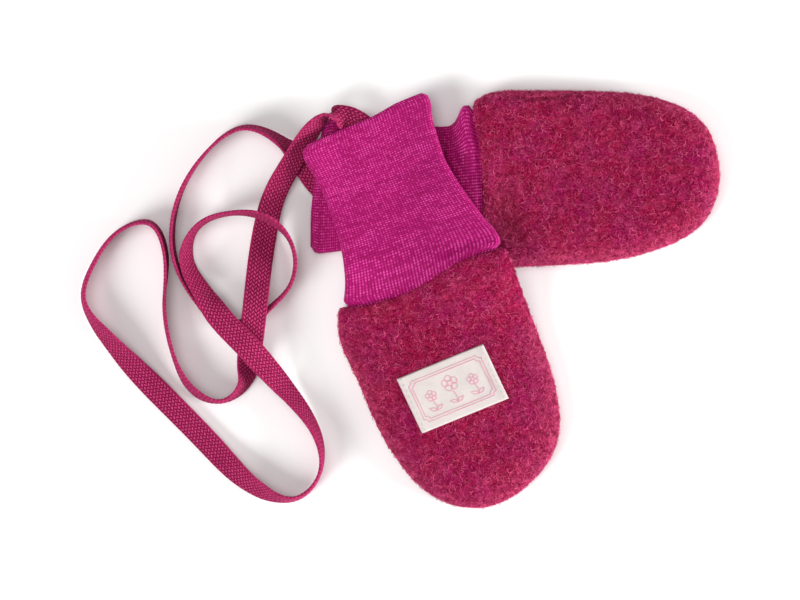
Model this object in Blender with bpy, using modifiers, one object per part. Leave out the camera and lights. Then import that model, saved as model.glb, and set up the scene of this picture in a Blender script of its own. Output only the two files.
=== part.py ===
"""A pair of baby mittens laid flat: two thumbless bags of wool fleece with long ribbed cuffs, a woven
label, and one flat braided tape that joins them from cuff to cuff.

Lengths are in millimetres and turn into metres when a mesh is made. The surface they lie on is z = 0. Each
mitten has a frame of its own: `along` runs from the cuff seam to the finger end, and `across` runs to the
left of that.
"""

from collections import namedtuple
from math import cos, pi, radians, sin, sqrt

import bmesh
import bpy
import numpy as np
from mathutils import Vector
from mathutils.bvhtree import BVHTree

MM = 0.001

# Cloth thicknesses, and the gap kept between one piece and the next.
FLEECE_WALL = 4.0
RIB_WALL = 1.4
LABEL_WALL = 0.8
PIECE_GAP = 0.3

# The bag: a flat lower panel, and an upper panel that domes over it.
BAG_HEIGHT = 11.8
LOWER_EDGE_HEIGHT = 3.2
UPPER_EDGE_HEIGHT = 5.1
LOWER_ROLL = 4.0
SEAM_ROLL = 1.5
SIDE_WALL = 3.3
LIP_ROLL = 5.3
ROLL_GROWTH_FROM = 6.0
ROLL_GROWTH = 20.0
ROLL_BLEND_WIDTH = 50.0
LIP_TAPER = 1.4
LIP_TAPER_LENGTH = 5.0
LIP_CURVE_LENGTH = 25.0

# Sampling of a panel: stations down each side, rays round the finger end, and rings in from the edge. The
# front mitten climbs over the back one, so its panels bend more and are sampled closer.
TIP_CENTRE = 60.0
TIP_FROM = 48.0
CLIMBING_STATIONS = (0.0, 1.7, 3.4, 5.0, 7.0, 9.5, 12.5, 16.0, 20.0, 25.0, 31.0, 38.0, 48.0, TIP_CENTRE)
LEVEL_STATIONS = (0.0, 2.5, 5.0, 9.0, 16.0, 26.0, 37.0, 48.0, TIP_CENTRE)
TIP_RAYS = 17
OUTLINE_STEPS = 10
CLIMBING_UPPER_RINGS = (0.0, 0.5, 1.5, 3.3, 3.8, 4.8, 7.5, 12.0, 17.5, 23.0, 28.5, 33.5)
CLIMBING_LOWER_RINGS = (0.0, 0.6, 1.5, 4.0, 8.5, 13.5, 18.5, 23.5, 28.5, 33.5)
LEVEL_UPPER_RINGS = (0.0, 0.5, 1.5, 3.3, 3.8, 4.8, 7.5, 12.0, 18.0, 27.0)
LEVEL_LOWER_RINGS = (0.0, 0.6, 1.5, 4.0, 18.0)

# Sampling of a cuff: points round each folded edge.
FOLD_POINTS = 5
CUFF_LIP_REACH = 20.0
CUFF_MOUTH_REACH = 41.0
CUFF_MOUTH_START = 30.0
FOLDS_FROM = 1.0
FOLDS_FADE = 4.0

LABEL_WIDTH = 40.0
LABEL_LENGTH = 25.8
LABEL_COLUMNS = 12
LABEL_ROWS = 7
LABEL_ALONG = 49.7
LABEL_ACROSS = -3.1
LABEL_TURN = 4.1
LABEL_LEAN = 7.2
WELL_ABOVE = 50.0

TAPE_WIDTH = 10.6
TAPE_THICKNESS = 1.4
TAPE_STEPS = 2

# Points closer than this are one point, and edges sharper than this angle stay sharp in the shading.
SAME_POINT = 0.002
SHARP_ANGLE = 50.0

# Where the whole pair sits, so that the middle of its base is the origin.
PAIR_SHIFT_X = 0.0
PAIR_SHIFT_Y = -0.54

# How the front mitten climbs over the back one: it is down on the surface until its foot line and up on its
# level from CLIMB_TOP, and both differ between the side over the back cuff and the side over the back bag.
CUFF_LEVEL = 6.3
BAG_LEVEL = 11.2
LEVEL_FROM_X = -52.0
LEVEL_TO_X = -14.0
CLIMB_TOP = 18.0
CLIMB_FOOT_CUFF = -5.0
CLIMB_FOOT_BAG = -18.0
CORNER_RAISE = 2.0
CORNER_FROM_X = -74.0
CORNER_TO_X = -86.0

OutlinePoint = namedtuple("OutlinePoint", "along across")
EndLine = namedtuple("EndLine", "across shift")
CuffSection = namedtuple("CuffSection", "along right left bottom top")
Hollow = namedtuple("Hollow", "along across reach_along reach_across depth")
Sampling = namedtuple("Sampling", "stations upper_rings lower_rings cuff_points")
Mitten = namedtuple("Mitten", "name seam_x seam_y heading rolls sampling body lip mouth cuff folds hollows")
RoutePoint = namedtuple("RoutePoint", "x y turn lift")

FRONT = Mitten(
    name="front",
    seam_x=-38.14,
    seam_y=10.54,
    heading=-72.0,
    rolls=(14.0, 22.0),
    sampling=Sampling(CLIMBING_STATIONS, CLIMBING_UPPER_RINGS, CLIMBING_LOWER_RINGS, 14),
    body=(
        OutlinePoint(-1.0, -38.5),
        OutlinePoint(1.6, -40.0),
        OutlinePoint(6.0, -41.5),
        OutlinePoint(14.0, -43.2),
        OutlinePoint(27.0, -42.2),
        OutlinePoint(45.0, -40.5),
        OutlinePoint(60.0, -38.6),
        OutlinePoint(74.0, -34.9),
        OutlinePoint(86.0, -29.7),
        OutlinePoint(95.0, -22.3),
        OutlinePoint(101.3, -12.2),
        OutlinePoint(103.6, -2.0),
        OutlinePoint(102.5, 7.1),
        OutlinePoint(98.4, 18.0),
        OutlinePoint(92.0, 27.8),
        OutlinePoint(82.0, 35.2),
        OutlinePoint(68.0, 39.2),
        OutlinePoint(52.0, 40.2),
        OutlinePoint(34.0, 39.6),
        OutlinePoint(16.0, 38.6),
        OutlinePoint(8.0, 38.3),
        OutlinePoint(3.1, 37.8),
        OutlinePoint(-1.0, 36.9),
    ),
    lip=(
        EndLine(-40.0, 1.6),
        EndLine(-25.0, 4.6),
        EndLine(-12.0, 5.0),
        EndLine(0.0, 3.1),
        EndLine(13.0, -0.2),
        EndLine(24.0, -1.4),
        EndLine(32.0, -1.1),
        EndLine(40.0, 0.2),
    ),
    mouth=(
        EndLine(-33.0, 3.2),
        EndLine(-15.0, 1.2),
        EndLine(0.0, 0.0),
        EndLine(13.0, -2.4),
        EndLine(26.0, -3.2),
    ),
    cuff=(
        CuffSection(5.0, -34.7, 32.9, 4.3, 7.5),
        CuffSection(3.4, -34.8, 33.0, 4.3, 7.5),
        CuffSection(1.7, -34.8, 33.0, 4.3, 7.5),
        CuffSection(-0.6, -34.9, 33.2, 4.3, 7.5),
        CuffSection(-2.6, -35.8, 35.4, 3.7, 8.0),
        CuffSection(-4.6, -35.0, 35.8, 3.0, 8.2),
        CuffSection(-8.0, -33.4, 35.1, 1.9, 8.1),
        CuffSection(-12.5, -31.8, 33.4, 0.8, 7.3),
        CuffSection(-20.0, -30.2, 30.6, 0.1, 6.7),
        CuffSection(-27.0, -29.6, 28.4, 0.0, 6.4),
        CuffSection(-34.0, -29.5, 26.3, 0.0, 6.1),
        CuffSection(-46.0, -29.8, 24.0, 0.0, 5.8),
        CuffSection(-58.0, -31.5, 24.2, 0.0, 5.6),
        CuffSection(-67.5, -33.2, 25.8, 0.0, 5.6),
        CuffSection(-70.0, -32.4, 25.4, 0.1, 5.5),
        CuffSection(-71.0, -30.2, 24.0, 0.4, 5.2),
    ),
    folds=(
        Hollow(-7.0, 19.0, 4.5, 7.0, 0.6),
        Hollow(-9.0, -17.0, 5.0, 8.0, 0.5),
        Hollow(-44.0, 2.0, 5.0, 22.0, 0.4),
    ),
    hollows=(
        Hollow(26.0, -22.0, 9.0, 11.0, 0.7),
        Hollow(22.0, 20.0, 8.0, 12.0, 0.5),
        Hollow(78.0, 12.0, 9.0, 15.0, 0.5),
        Hollow(58.0, -28.0, 14.0, 5.0, 0.4),
    ),
)

BACK = Mitten(
    name="back",
    seam_x=-13.33,
    seam_y=50.10,
    heading=2.0,
    rolls=(16.0, 12.0),
    sampling=Sampling(LEVEL_STATIONS, LEVEL_UPPER_RINGS, LEVEL_LOWER_RINGS, 11),
    body=(
        OutlinePoint(-1.0, -36.4),
        OutlinePoint(6.0, -36.8),
        OutlinePoint(30.0, -36.7),
        OutlinePoint(45.0, -36.4),
        OutlinePoint(60.0, -34.9),
        OutlinePoint(74.0, -31.6),
        OutlinePoint(86.0, -27.0),
        OutlinePoint(94.5, -21.0),
        OutlinePoint(100.2, -12.0),
        OutlinePoint(102.9, -2.0),
        OutlinePoint(102.4, 8.0),
        OutlinePoint(99.6, 18.0),
        OutlinePoint(94.4, 25.2),
        OutlinePoint(86.0, 31.2),
        OutlinePoint(75.0, 35.2),
        OutlinePoint(60.0, 37.8),
        OutlinePoint(40.0, 39.2),
        OutlinePoint(22.0, 39.9),
        OutlinePoint(13.0, 40.1),
        OutlinePoint(7.5, 39.5),
        OutlinePoint(3.1, 37.8),
        OutlinePoint(-1.0, 35.3),
    ),
    lip=(
        EndLine(-40.0, -0.6),
        EndLine(-12.0, 0.0),
        EndLine(0.0, 0.2),
        EndLine(12.0, 0.2),
        EndLine(22.0, -1.2),
        EndLine(30.0, -2.3),
        EndLine(40.0, -1.6),
    ),
    mouth=(
        EndLine(-28.0, -2.2),
        EndLine(-12.0, -1.5),
        EndLine(0.0, 0.0),
        EndLine(15.0, 2.6),
        EndLine(31.0, 5.6),
    ),
    cuff=(
        CuffSection(5.0, -32.0, 31.4, 4.3, 7.5),
        CuffSection(-0.4, -32.2, 31.8, 4.3, 7.5),
        CuffSection(-2.3, -32.4, 33.8, 3.8, 8.2),
        CuffSection(-4.2, -32.2, 33.7, 3.1, 8.5),
        CuffSection(-5.9, -31.9, 32.2, 2.5, 8.6),
        CuffSection(-7.4, -31.6, 29.3, 2.0, 8.4),
        CuffSection(-9.6, -31.2, 26.7, 1.3, 7.8),
        CuffSection(-12.8, -30.4, 25.2, 0.5, 6.8),
        CuffSection(-16.0, -29.8, 25.1, 0.1, 6.0),
        CuffSection(-24.0, -28.4, 26.2, 0.0, 5.5),
        CuffSection(-42.0, -26.8, 28.2, 0.0, 5.5),
        CuffSection(-58.0, -26.7, 29.9, 0.0, 5.6),
        CuffSection(-68.0, -27.4, 30.8, 0.0, 5.6),
        CuffSection(-70.6, -26.6, 30.0, 0.1, 5.5),
        CuffSection(-71.5, -24.8, 28.4, 0.4, 5.2),
    ),
    folds=(
        Hollow(-17.0, 13.0, 4.0, 13.0, 0.8),
        Hollow(-9.0, -10.0, 4.0, 9.0, 0.5),
    ),
    hollows=(
        Hollow(4.0, -27.0, 13.0, 14.0, 1.5),
        Hollow(30.0, -10.0, 10.0, 14.0, 0.6),
        Hollow(60.0, 14.0, 12.0, 13.0, 0.5),
        Hollow(84.0, -8.0, 7.0, 12.0, 0.4),
    ),
)

# The joining tape, from inside the front cuff to inside the back one. `turn` is the angle of its width about
# its own run: 0 lies flat, 90 stands on edge with the left edge up, 180 lies flat with the other face up.
# `lift` is the height of its lowest edge.
TAPE_ROUTE = (
    RoutePoint(-54.2, 64.3, 0, 8.4),
    RoutePoint(-65.0, 75.0, 0, 8.4),
    RoutePoint(-70.4, 77.9, 0, 8.3),
    RoutePoint(-74.4, 78.8, 25, 8.1),
    RoutePoint(-78.4, 79.4, 88, 7.0),
    RoutePoint(-82.2, 77.3, 114, 6.6),
    RoutePoint(-86.5, 72.2, 132, 5.6),
    RoutePoint(-90.6, 65.8, 141, 4.8),
    RoutePoint(-95.4, 57.6, 147, 3.9),
    RoutePoint(-100.7, 48.2, 154, 2.8),
    RoutePoint(-106.2, 29.9, 168, 0.5),
    RoutePoint(-109.0, 9.0, 180, 7.6),
    RoutePoint(-110.2, -3.0, 183, 11.0),
    RoutePoint(-111.4, -13.0, 178, 10.4),
    RoutePoint(-113.1, -26.4, 158, 3.2),
    RoutePoint(-115.7, -36.8, 112, 0.3),
    RoutePoint(-124.7, -43.2, 95, 0.3),
    RoutePoint(-136.3, -39.1, 105, 0.3),
    RoutePoint(-145.3, -23.9, 96, 0.3),
    RoutePoint(-149.3, 0.2, 94, 0.3),
    RoutePoint(-149.0, 21.7, 84, 0.3),
    RoutePoint(-155.7, 33.3, 82, 0.3),
    RoutePoint(-166.0, 31.5, 85, 0.3),
    RoutePoint(-179.7, 15.7, 82, 0.3),
    RoutePoint(-184.0, 1.1, 81, 0.3),
    RoutePoint(-175.7, -13.8, 58, 0.3),
    RoutePoint(-151.4, -39.8, 11, 0.3),
    RoutePoint(-128.1, -63.6, 15, 0.3),
    RoutePoint(-107.4, -81.8, 54, 0.3),
    RoutePoint(-92.9, -84.9, 82, 0.3),
    RoutePoint(-83.0, -75.0, 88, 0.3),
    RoutePoint(-83.2, -59.1, 74, 0.3),
    RoutePoint(-95.4, -40.2, 48, 1.2),
    RoutePoint(-105.4, -28.6, 20, 8.0),
    RoutePoint(-114.9, -18.1, 3, 12.2),
    RoutePoint(-125.1, -7.3, 6, 11.8),
    RoutePoint(-132.3, 3.0, 42, 5.8),
    RoutePoint(-139.9, 19.4, 62, 0.3),
    RoutePoint(-134.9, 31.8, 82, 0.8),
    RoutePoint(-122.0, 37.2, 85, 2.8),
    RoutePoint(-105.4, 35.2, 76, 5.2),
    RoutePoint(-94.4, 23.4, 86, 1.6),
    RoutePoint(-95.6, 6.2, 86, 0.3),
    RoutePoint(-104.4, -3.4, 82, 0.1),
    RoutePoint(-110.6, -8.4, 64, 0.1),
    RoutePoint(-119.0, -11.6, 52, 0.1),
    RoutePoint(-127.4, -7.4, 62, 0.1),
    RoutePoint(-135.4, 0.4, 79, 0.2),
    RoutePoint(-140.3, 7.2, 84, 0.2),
    RoutePoint(-145.0, 18.8, 84, 0.3),
    RoutePoint(-144.3, 40.0, 86, 0.3),
    RoutePoint(-130.9, 64.0, 92, 0.3),
    RoutePoint(-114.7, 74.2, 100, 0.3),
    RoutePoint(-98.0, 67.3, 118, 0.3),
    RoutePoint(-89.6, 58.9, 180, 2.2),
    RoutePoint(-81.3, 48.3, 180, 2.1),
    RoutePoint(-65.4, 43.2, 180, 2.1),
)

COLOURS = {
    "fleece": (0.36, 0.03, 0.09, 1.0),
    "rib": (0.50, 0.02, 0.20, 1.0),
    "label": (0.82, 0.78, 0.74, 1.0),
    "tape": (0.38, 0.03, 0.10, 1.0),
}


def smoothstep(value):
    part = min(max(value, 0.0), 1.0)
    return part * part * (3.0 - 2.0 * part)


def quarter_round(value):
    """Height of a quarter circle at this share of its radius in from the edge, level at 1 after that."""
    inside = 1.0 - min(max(value, 0.0), 1.0)
    return sqrt(1.0 - inside * inside)


def smooth_path(rows, steps):
    """Points of the natural cubic curve through rows of (x, y), with `steps` of them to each span."""
    points = np.array(rows, float)
    spans = np.linalg.norm(np.diff(points, axis=0), axis=1)
    count = len(points)
    system = np.eye(count)
    slopes = np.zeros_like(points)
    for row in range(1, count - 1):
        before = spans[row - 1]
        after = spans[row]
        system[row, row - 1 : row + 2] = (before, 2.0 * (before + after), after)
        rise = (points[row + 1] - points[row]) / after
        slopes[row] = 6.0 * (rise - (points[row] - points[row - 1]) / before)
    bends = np.linalg.solve(system, slopes)
    found = []
    for span, length in enumerate(spans):
        for step in range(steps):
            right = step / steps
            left = 1.0 - right
            bend = (left**3 - left) * bends[span] + (right**3 - right) * bends[span + 1]
            found.append(left * points[span] + right * points[span + 1] + bend * length**2 / 6.0)
    found.append(points[-1])
    return np.array(found)


def steady_values(values, steps):
    """Values of a curve that never swings past the rows it runs through, `steps` of them to each span."""
    values = np.array(values, float)
    rises = np.diff(values)
    slopes = np.zeros(len(values))
    for row in range(1, len(values) - 1):
        if rises[row - 1] * rises[row] > 0:
            slopes[row] = 2.0 * rises[row - 1] * rises[row] / (rises[row - 1] + rises[row])
    found = []
    for span, rise in enumerate(rises):
        for step in range(steps):
            share = step / steps
            start_bend = share * (1.0 - share) ** 2 * slopes[span]
            end_bend = share**2 * (share - 1.0) * slopes[span + 1]
            found.append(values[span] + rise * smoothstep(share) + start_bend + end_bend)
    found.append(values[-1])
    return np.array(found)


def to_table(mitten, along, across):
    """The place on the table of a point in the mitten's own frame."""
    turn = radians(mitten.heading)
    x = mitten.seam_x + along * cos(turn) - across * sin(turn) + PAIR_SHIFT_X
    y = mitten.seam_y + along * sin(turn) + across * cos(turn) + PAIR_SHIFT_Y
    return x, y


def front_lift(x, y):
    """How far the front mitten is raised at this place by the back one and by the tape under its mouth."""
    over_bag = smoothstep((x - LEVEL_FROM_X) / (LEVEL_TO_X - LEVEL_FROM_X))
    level = CUFF_LEVEL + (BAG_LEVEL - CUFF_LEVEL) * over_bag
    level += CORNER_RAISE * smoothstep((x - CORNER_FROM_X) / (CORNER_TO_X - CORNER_FROM_X))
    foot = CLIMB_FOOT_CUFF + (CLIMB_FOOT_BAG - CLIMB_FOOT_CUFF) * over_bag
    return level * smoothstep((y - foot) / (CLIMB_TOP - foot))


def placed(mitten, along, across, height):
    x, y = to_table(mitten, along, across)
    if mitten is FRONT:
        height += front_lift(x, y)
    return Vector((x * MM, y * MM, height * MM))


def end_shift(line, across):
    return float(np.interp(across, [row.across for row in line], [row.shift for row in line]))


def panel_columns(mitten):
    """Pairs of an edge point and the point on the spine that it faces, round the U from lip to lip."""
    outline = smooth_path(mitten.body, OUTLINE_STEPS)
    middle = float(np.mean(outline[[0, -1], 1]))
    tip_row = int(np.argmax(outline[:, 0]))
    right_side = outline[: tip_row + 1]
    left_side = outline[tip_row:][::-1]
    bearings = np.arctan2(outline[:, 1] - middle, outline[:, 0] - TIP_CENTRE)
    reaches = np.hypot(outline[:, 1] - middle, outline[:, 0] - TIP_CENTRE)
    round_tip = outline[:, 0] > TIP_FROM
    columns = []
    for station in mitten.sampling.stations:
        across = np.interp(station, right_side[:, 0], right_side[:, 1])
        columns.append(((station, across), (station, middle)))
    for bearing in np.linspace(-pi / 2, pi / 2, TIP_RAYS)[1:-1]:
        reach = np.interp(bearing, bearings[round_tip], reaches[round_tip])
        edge = (TIP_CENTRE + reach * cos(bearing), middle + reach * sin(bearing))
        columns.append((edge, (TIP_CENTRE, middle)))
    for station in reversed(mitten.sampling.stations):
        across = np.interp(station, left_side[:, 0], left_side[:, 1])
        columns.append(((station, across), (station, middle)))
    return columns


def hollow_depth(rows, along, across):
    """The depth here of the soft hollows in an upper face."""
    depth = 0.0
    for row in rows:
        away = ((along - row.along) / row.reach_along) ** 2 + ((across - row.across) / row.reach_across) ** 2
        depth += row.depth * np.exp(-away)
    return depth


def side_roll(mitten, along, across):
    """How far in from the edge the upper panel still rounds over: little at the lip and more down the bag."""
    right_roll, left_roll = mitten.rolls
    share = smoothstep(0.5 + across / ROLL_BLEND_WIDTH)
    full = right_roll + (left_roll - right_roll) * share
    return LIP_ROLL + (full - LIP_ROLL) * smoothstep((along - ROLL_GROWTH_FROM) / ROLL_GROWTH)


def upper_heights(mitten, along, across, inset):
    """Heights of the upper panel's outer and inner faces, at this distance in from its edge."""
    roll = side_roll(mitten, along, across)
    dip = hollow_depth(mitten.hollows, along, across) * quarter_round(inset / roll)
    outer = UPPER_EDGE_HEIGHT + (BAG_HEIGHT - UPPER_EDGE_HEIGHT) * quarter_round(inset / roll) - dip
    outer -= LIP_TAPER * (1.0 - quarter_round(along / LIP_TAPER_LENGTH)) * quarter_round(inset / roll)
    rim_height = FLEECE_WALL + PIECE_GAP
    rim = rim_height + (UPPER_EDGE_HEIGHT - rim_height) * (1.0 - quarter_round(inset / SEAM_ROLL))
    room = BAG_HEIGHT - FLEECE_WALL - rim_height - dip * smoothstep(along / ROLL_GROWTH_FROM - 1.0)
    return outer, rim + room * quarter_round((inset - SIDE_WALL) / (roll - SIDE_WALL))


def lower_heights(inset):
    """Heights of the lower panel's upper and lower faces, at this distance in from its edge."""
    upper = LOWER_EDGE_HEIGHT + (FLEECE_WALL - LOWER_EDGE_HEIGHT) * quarter_round(inset / SEAM_ROLL)
    lower = LOWER_EDGE_HEIGHT * (1.0 - quarter_round(inset / LOWER_ROLL))
    return upper, lower


def material(name, colour):
    made = bpy.data.materials.new(name)
    made.use_nodes = True
    made.diffuse_color = colour
    shader = made.node_tree.nodes["Principled BSDF"]
    shader.inputs["Base Color"].default_value = colour
    shader.inputs["Roughness"].default_value = 0.9
    return made


def solid_from(name, points, faces, colour):
    """An object from points and faces: its doubled points are joined and its faces turned outwards."""
    mesh = bpy.data.meshes.new(name)
    mesh.from_pydata(points, [], faces)
    work = bmesh.new()
    work.from_mesh(mesh)
    bmesh.ops.remove_doubles(work, verts=work.verts, dist=SAME_POINT * MM)
    bmesh.ops.recalc_face_normals(work, faces=work.faces)
    work.to_mesh(mesh)
    work.free()
    mesh.materials.append(material(name + "_cloth", colour))
    mesh.shade_smooth()
    mesh.set_sharp_from_angle(angle=radians(SHARP_ANGLE))
    made = bpy.data.objects.new(name, mesh)
    PIECES.objects.link(made)
    return made


def fleece_panel(mitten, name, insets, heights):
    """A fleece panel of the bag: an outer and an inner face that meet at the edge, closed across the lip."""
    columns = panel_columns(mitten)
    rings = len(insets) + 1
    faces_of_cloth = ([], [])
    for edge, spine in columns:
        width = sqrt((edge[0] - spine[0]) ** 2 + (edge[1] - spine[1]) ** 2)
        for ring in range(rings):
            inset = insets[ring] if ring < len(insets) else width
            share = inset / width
            along = edge[0] + (spine[0] - edge[0]) * share
            across = edge[1] + (spine[1] - edge[1]) * share
            shift = end_shift(mitten.lip, across) * (1.0 - smoothstep(along / LIP_CURVE_LENGTH))
            for side, height in enumerate(heights(along, across, inset)):
                faces_of_cloth[side].append(placed(mitten, along + shift, across, height))
    points = faces_of_cloth[0] + faces_of_cloth[1]
    under = len(faces_of_cloth[0])
    faces = []
    for column in range(len(columns) - 1):
        for ring in range(rings - 1):
            corner = column * rings + ring
            quad = (corner, corner + 1, corner + rings + 1, corner + rings)
            faces.append(quad)
            faces.append(tuple(under + index for index in reversed(quad)))
    for first in (0, (len(columns) - 1) * rings):
        for ring in range(rings - 1):
            corner = first + ring
            faces.append((corner, corner + 1, under + corner + 1, under + corner))
    return solid_from(name, points, faces, COLOURS["fleece"])


def flattened_tube(section, wall, flat_points):
    """A section of a tube pressed flat, set in by `wall`: its points as (across, height)."""
    _, right, left, bottom, top = section
    radius = (top - bottom) / 2
    middle = (top + bottom) / 2
    inner_radius = radius - wall
    points = []
    for centre, start in ((left - radius, -pi / 2), (right + radius, pi / 2)):
        for step in range(FOLD_POINTS):
            angle = start + pi * step / (FOLD_POINTS - 1)
            points.append((centre + inner_radius * cos(angle), middle + inner_radius * sin(angle)))
        far = right + radius if start < 0 else left - radius
        height = middle + (inner_radius if start < 0 else -inner_radius)
        for step in range(1, flat_points):
            points.append((centre + (far - centre) * step / flat_points, height))
    return points


def cuff_shift(mitten, along, across):
    """How far a point of the cuff lies from its section's line: the seam and the mouth are both curved."""
    near_seam = 1.0 - smoothstep(-along / CUFF_LIP_REACH)
    near_mouth = smoothstep((-along - CUFF_MOUTH_START) / CUFF_MOUTH_REACH)
    return near_seam * end_shift(mitten.lip, across) + near_mouth * end_shift(mitten.mouth, across)


def rib_cuff(mitten):
    """The ribbed cuff: a flattened tube, open at both ends, from inside the bag out to the mouth."""
    rings = []
    outside = [(row, 0.0) for row in mitten.cuff]
    inside = [(row, RIB_WALL) for row in reversed(mitten.cuff)]
    for row, wall in outside + inside:
        section = flattened_tube(row, wall, mitten.sampling.cuff_points)
        middle = (row.top + row.bottom) / 2
        crest = max(height for _, height in section)
        out_of_bag = smoothstep((-row.along - FOLDS_FROM) / FOLDS_FADE)
        ring = []
        for across, height in section:
            along = row.along + cuff_shift(mitten, row.along, across)
            fold = hollow_depth(mitten.folds, row.along, across) * out_of_bag
            fold *= smoothstep((height - middle) / (crest - middle))
            ring.append(placed(mitten, along, across, height - fold))
        rings.append(ring)
    around = len(rings[0])
    points = [point for ring in rings for point in ring]
    faces = []
    for ring in range(len(rings)):
        here = ring * around
        there = (ring + 1) % len(rings) * around
        for step in range(around):
            after = (step + 1) % around
            faces.append((here + step, here + after, there + after, there + step))
    return solid_from(mitten.name + "_cuff", points, faces, COLOURS["rib"])


def woven_label(mitten, panel):
    """The label: a sheet laid on the panel's own surface, one gap above it."""
    surface = BVHTree.FromObject(panel, bpy.context.evaluated_depsgraph_get())
    turn = radians(LABEL_TURN)
    lean = radians(LABEL_LEAN)
    points = []
    for row in range(LABEL_ROWS + 1):
        for column in range(LABEL_COLUMNS + 1):
            down = (row / LABEL_ROWS - 0.5) * LABEL_LENGTH
            side = (column / LABEL_COLUMNS - 0.5) * LABEL_WIDTH
            along = LABEL_ALONG + down * cos(lean) - side * sin(turn)
            across = LABEL_ACROSS + down * sin(lean) + side * cos(turn)
            above = placed(mitten, along, across, WELL_ABOVE)
            hit, normal, _, _ = surface.ray_cast(above, Vector((0, 0, -1)))
            points.append(hit + normal * PIECE_GAP * MM)
    faces = []
    for row in range(LABEL_ROWS):
        for column in range(LABEL_COLUMNS):
            corner = row * (LABEL_COLUMNS + 1) + column
            faces.append((corner, corner + 1, corner + LABEL_COLUMNS + 2, corner + LABEL_COLUMNS + 1))
    label = solid_from("label", points, faces, COLOURS["label"])
    if label.data.polygons[0].normal.z < 0:
        label.data.flip_normals()
    thicken = label.modifiers.new("woven cloth", "SOLIDIFY")
    thicken.thickness = LABEL_WALL * MM
    thicken.offset = 1.0
    return label


def joining_tape():
    """The braided tape: a flat section with rounded edges, swept along its route."""
    curve = bpy.data.curves.new("tape", "CURVE")
    curve.dimensions = "3D"
    curve.twist_mode = "Z_UP"
    curve.fill_mode = "FULL"
    curve.bevel_mode = "ROUND"
    curve.extrude = (TAPE_WIDTH - TAPE_THICKNESS) / 2 * MM
    curve.bevel_depth = TAPE_THICKNESS / 2 * MM
    curve.bevel_resolution = 2
    curve.use_fill_caps = True
    path = smooth_path([(row.x, row.y) for row in TAPE_ROUTE], TAPE_STEPS)
    turns = steady_values([row.turn for row in TAPE_ROUTE], TAPE_STEPS)
    lifts = steady_values([row.lift for row in TAPE_ROUTE], TAPE_STEPS)
    spline = curve.splines.new("POLY")
    spline.points.add(len(path) - 1)
    for point, (x, y), turn, lift in zip(spline.points, path, turns, lifts):
        lean = radians(turn)
        height = lift + TAPE_WIDTH / 2 * abs(sin(lean)) + TAPE_THICKNESS / 2 * abs(cos(lean))
        point.co = ((x + PAIR_SHIFT_X) * MM, (y + PAIR_SHIFT_Y) * MM, height * MM, 1.0)
        point.tilt = pi / 2 + lean
    curve.materials.append(material("tape_cloth", COLOURS["tape"]))
    tape = bpy.data.objects.new("tape", curve)
    PIECES.objects.link(tape)
    return tape


for old in list(bpy.data.objects):
    bpy.data.objects.remove(old, do_unlink=True)
PIECES = bpy.data.collections.new("baby_mittens")
bpy.context.scene.collection.children.link(PIECES)

for pair_half in (BACK, FRONT):
    fleece_panel(
        pair_half,
        pair_half.name + "_bottom_panel",
        pair_half.sampling.lower_rings,
        lambda along, across, inset: lower_heights(inset),
    )
    top_panel = fleece_panel(
        pair_half,
        pair_half.name + "_top_panel",
        pair_half.sampling.upper_rings,
        lambda along, across, inset: upper_heights(pair_half, along, across, inset),
    )
    rib_cuff(pair_half)
bpy.context.view_layer.update()
woven_label(FRONT, top_panel)
joining_tape()
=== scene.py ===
"""A pair of baby mittens laid flat: wool fleece bags with a short curled pile, fine ribbed cuffs,
a woven label, and a flat braided tape that joins them from cuff to cuff.

Tables and drawing sizes are in millimetres, and turn into metres when a mesh is made. Sizes in the
settings are in metres. Each mitten has a frame of its own: `along` runs from the cuff seam to the
finger end, and `across` runs to the left of that.
"""

from collections import namedtuple
from math import cos, pi, radians, sin

import bmesh
import bpy
import numpy as np
from bpy.props import FloatProperty, FloatVectorProperty, IntProperty, PointerProperty
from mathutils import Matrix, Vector, noise
from mathutils.bvhtree import BVHTree


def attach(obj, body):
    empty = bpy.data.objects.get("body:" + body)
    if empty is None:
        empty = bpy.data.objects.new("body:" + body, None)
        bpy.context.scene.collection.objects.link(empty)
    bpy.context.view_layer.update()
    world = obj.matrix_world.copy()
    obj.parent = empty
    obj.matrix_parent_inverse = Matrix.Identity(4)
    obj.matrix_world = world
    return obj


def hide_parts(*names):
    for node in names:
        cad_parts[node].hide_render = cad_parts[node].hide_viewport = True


bl_info = {
    "name": "Baby Mittens",
    "version": (1, 0, 0),
    "blender": (4, 5, 0),
    "location": "3D View > Sidebar > Mittens",
    "description": "Fleece mittens with ribbed cuffs, a woven label and a braided joining tape",
    "category": "Add Mesh",
}

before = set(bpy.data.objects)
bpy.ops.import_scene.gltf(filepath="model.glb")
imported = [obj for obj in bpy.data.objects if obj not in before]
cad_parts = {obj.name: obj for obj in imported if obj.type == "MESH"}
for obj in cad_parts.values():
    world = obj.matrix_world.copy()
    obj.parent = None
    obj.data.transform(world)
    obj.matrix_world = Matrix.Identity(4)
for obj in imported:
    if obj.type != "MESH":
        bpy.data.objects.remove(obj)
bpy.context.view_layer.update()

MM = 0.001
BODY = "root"

# Where the whole pair sits, so that the middle of its base is the origin.
PAIR_SHIFT_X = 0.0
PAIR_SHIFT_Y = -0.54

# How the front mitten climbs over the back one.
CUFF_LEVEL = 6.3
BAG_LEVEL = 11.2
LEVEL_FROM_X = -52.0
LEVEL_TO_X = -14.0
CLIMB_TOP = 18.0
CLIMB_FOOT_CUFF = -5.0
CLIMB_FOOT_BAG = -18.0
CORNER_RAISE = 2.0
CORNER_FROM_X = -74.0
CORNER_TO_X = -86.0


def table(columns, *rows):
    """A short table: a row with named columns for each of these."""
    row = namedtuple("Row", columns)
    return [row(*values) for values in rows]


Mitten = namedtuple(
    "Mitten",
    "name seam_x seam_y heading lifted rolls pile_seeds"
    " body lip mouth cuff folds hollows grooves fan",
)

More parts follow.
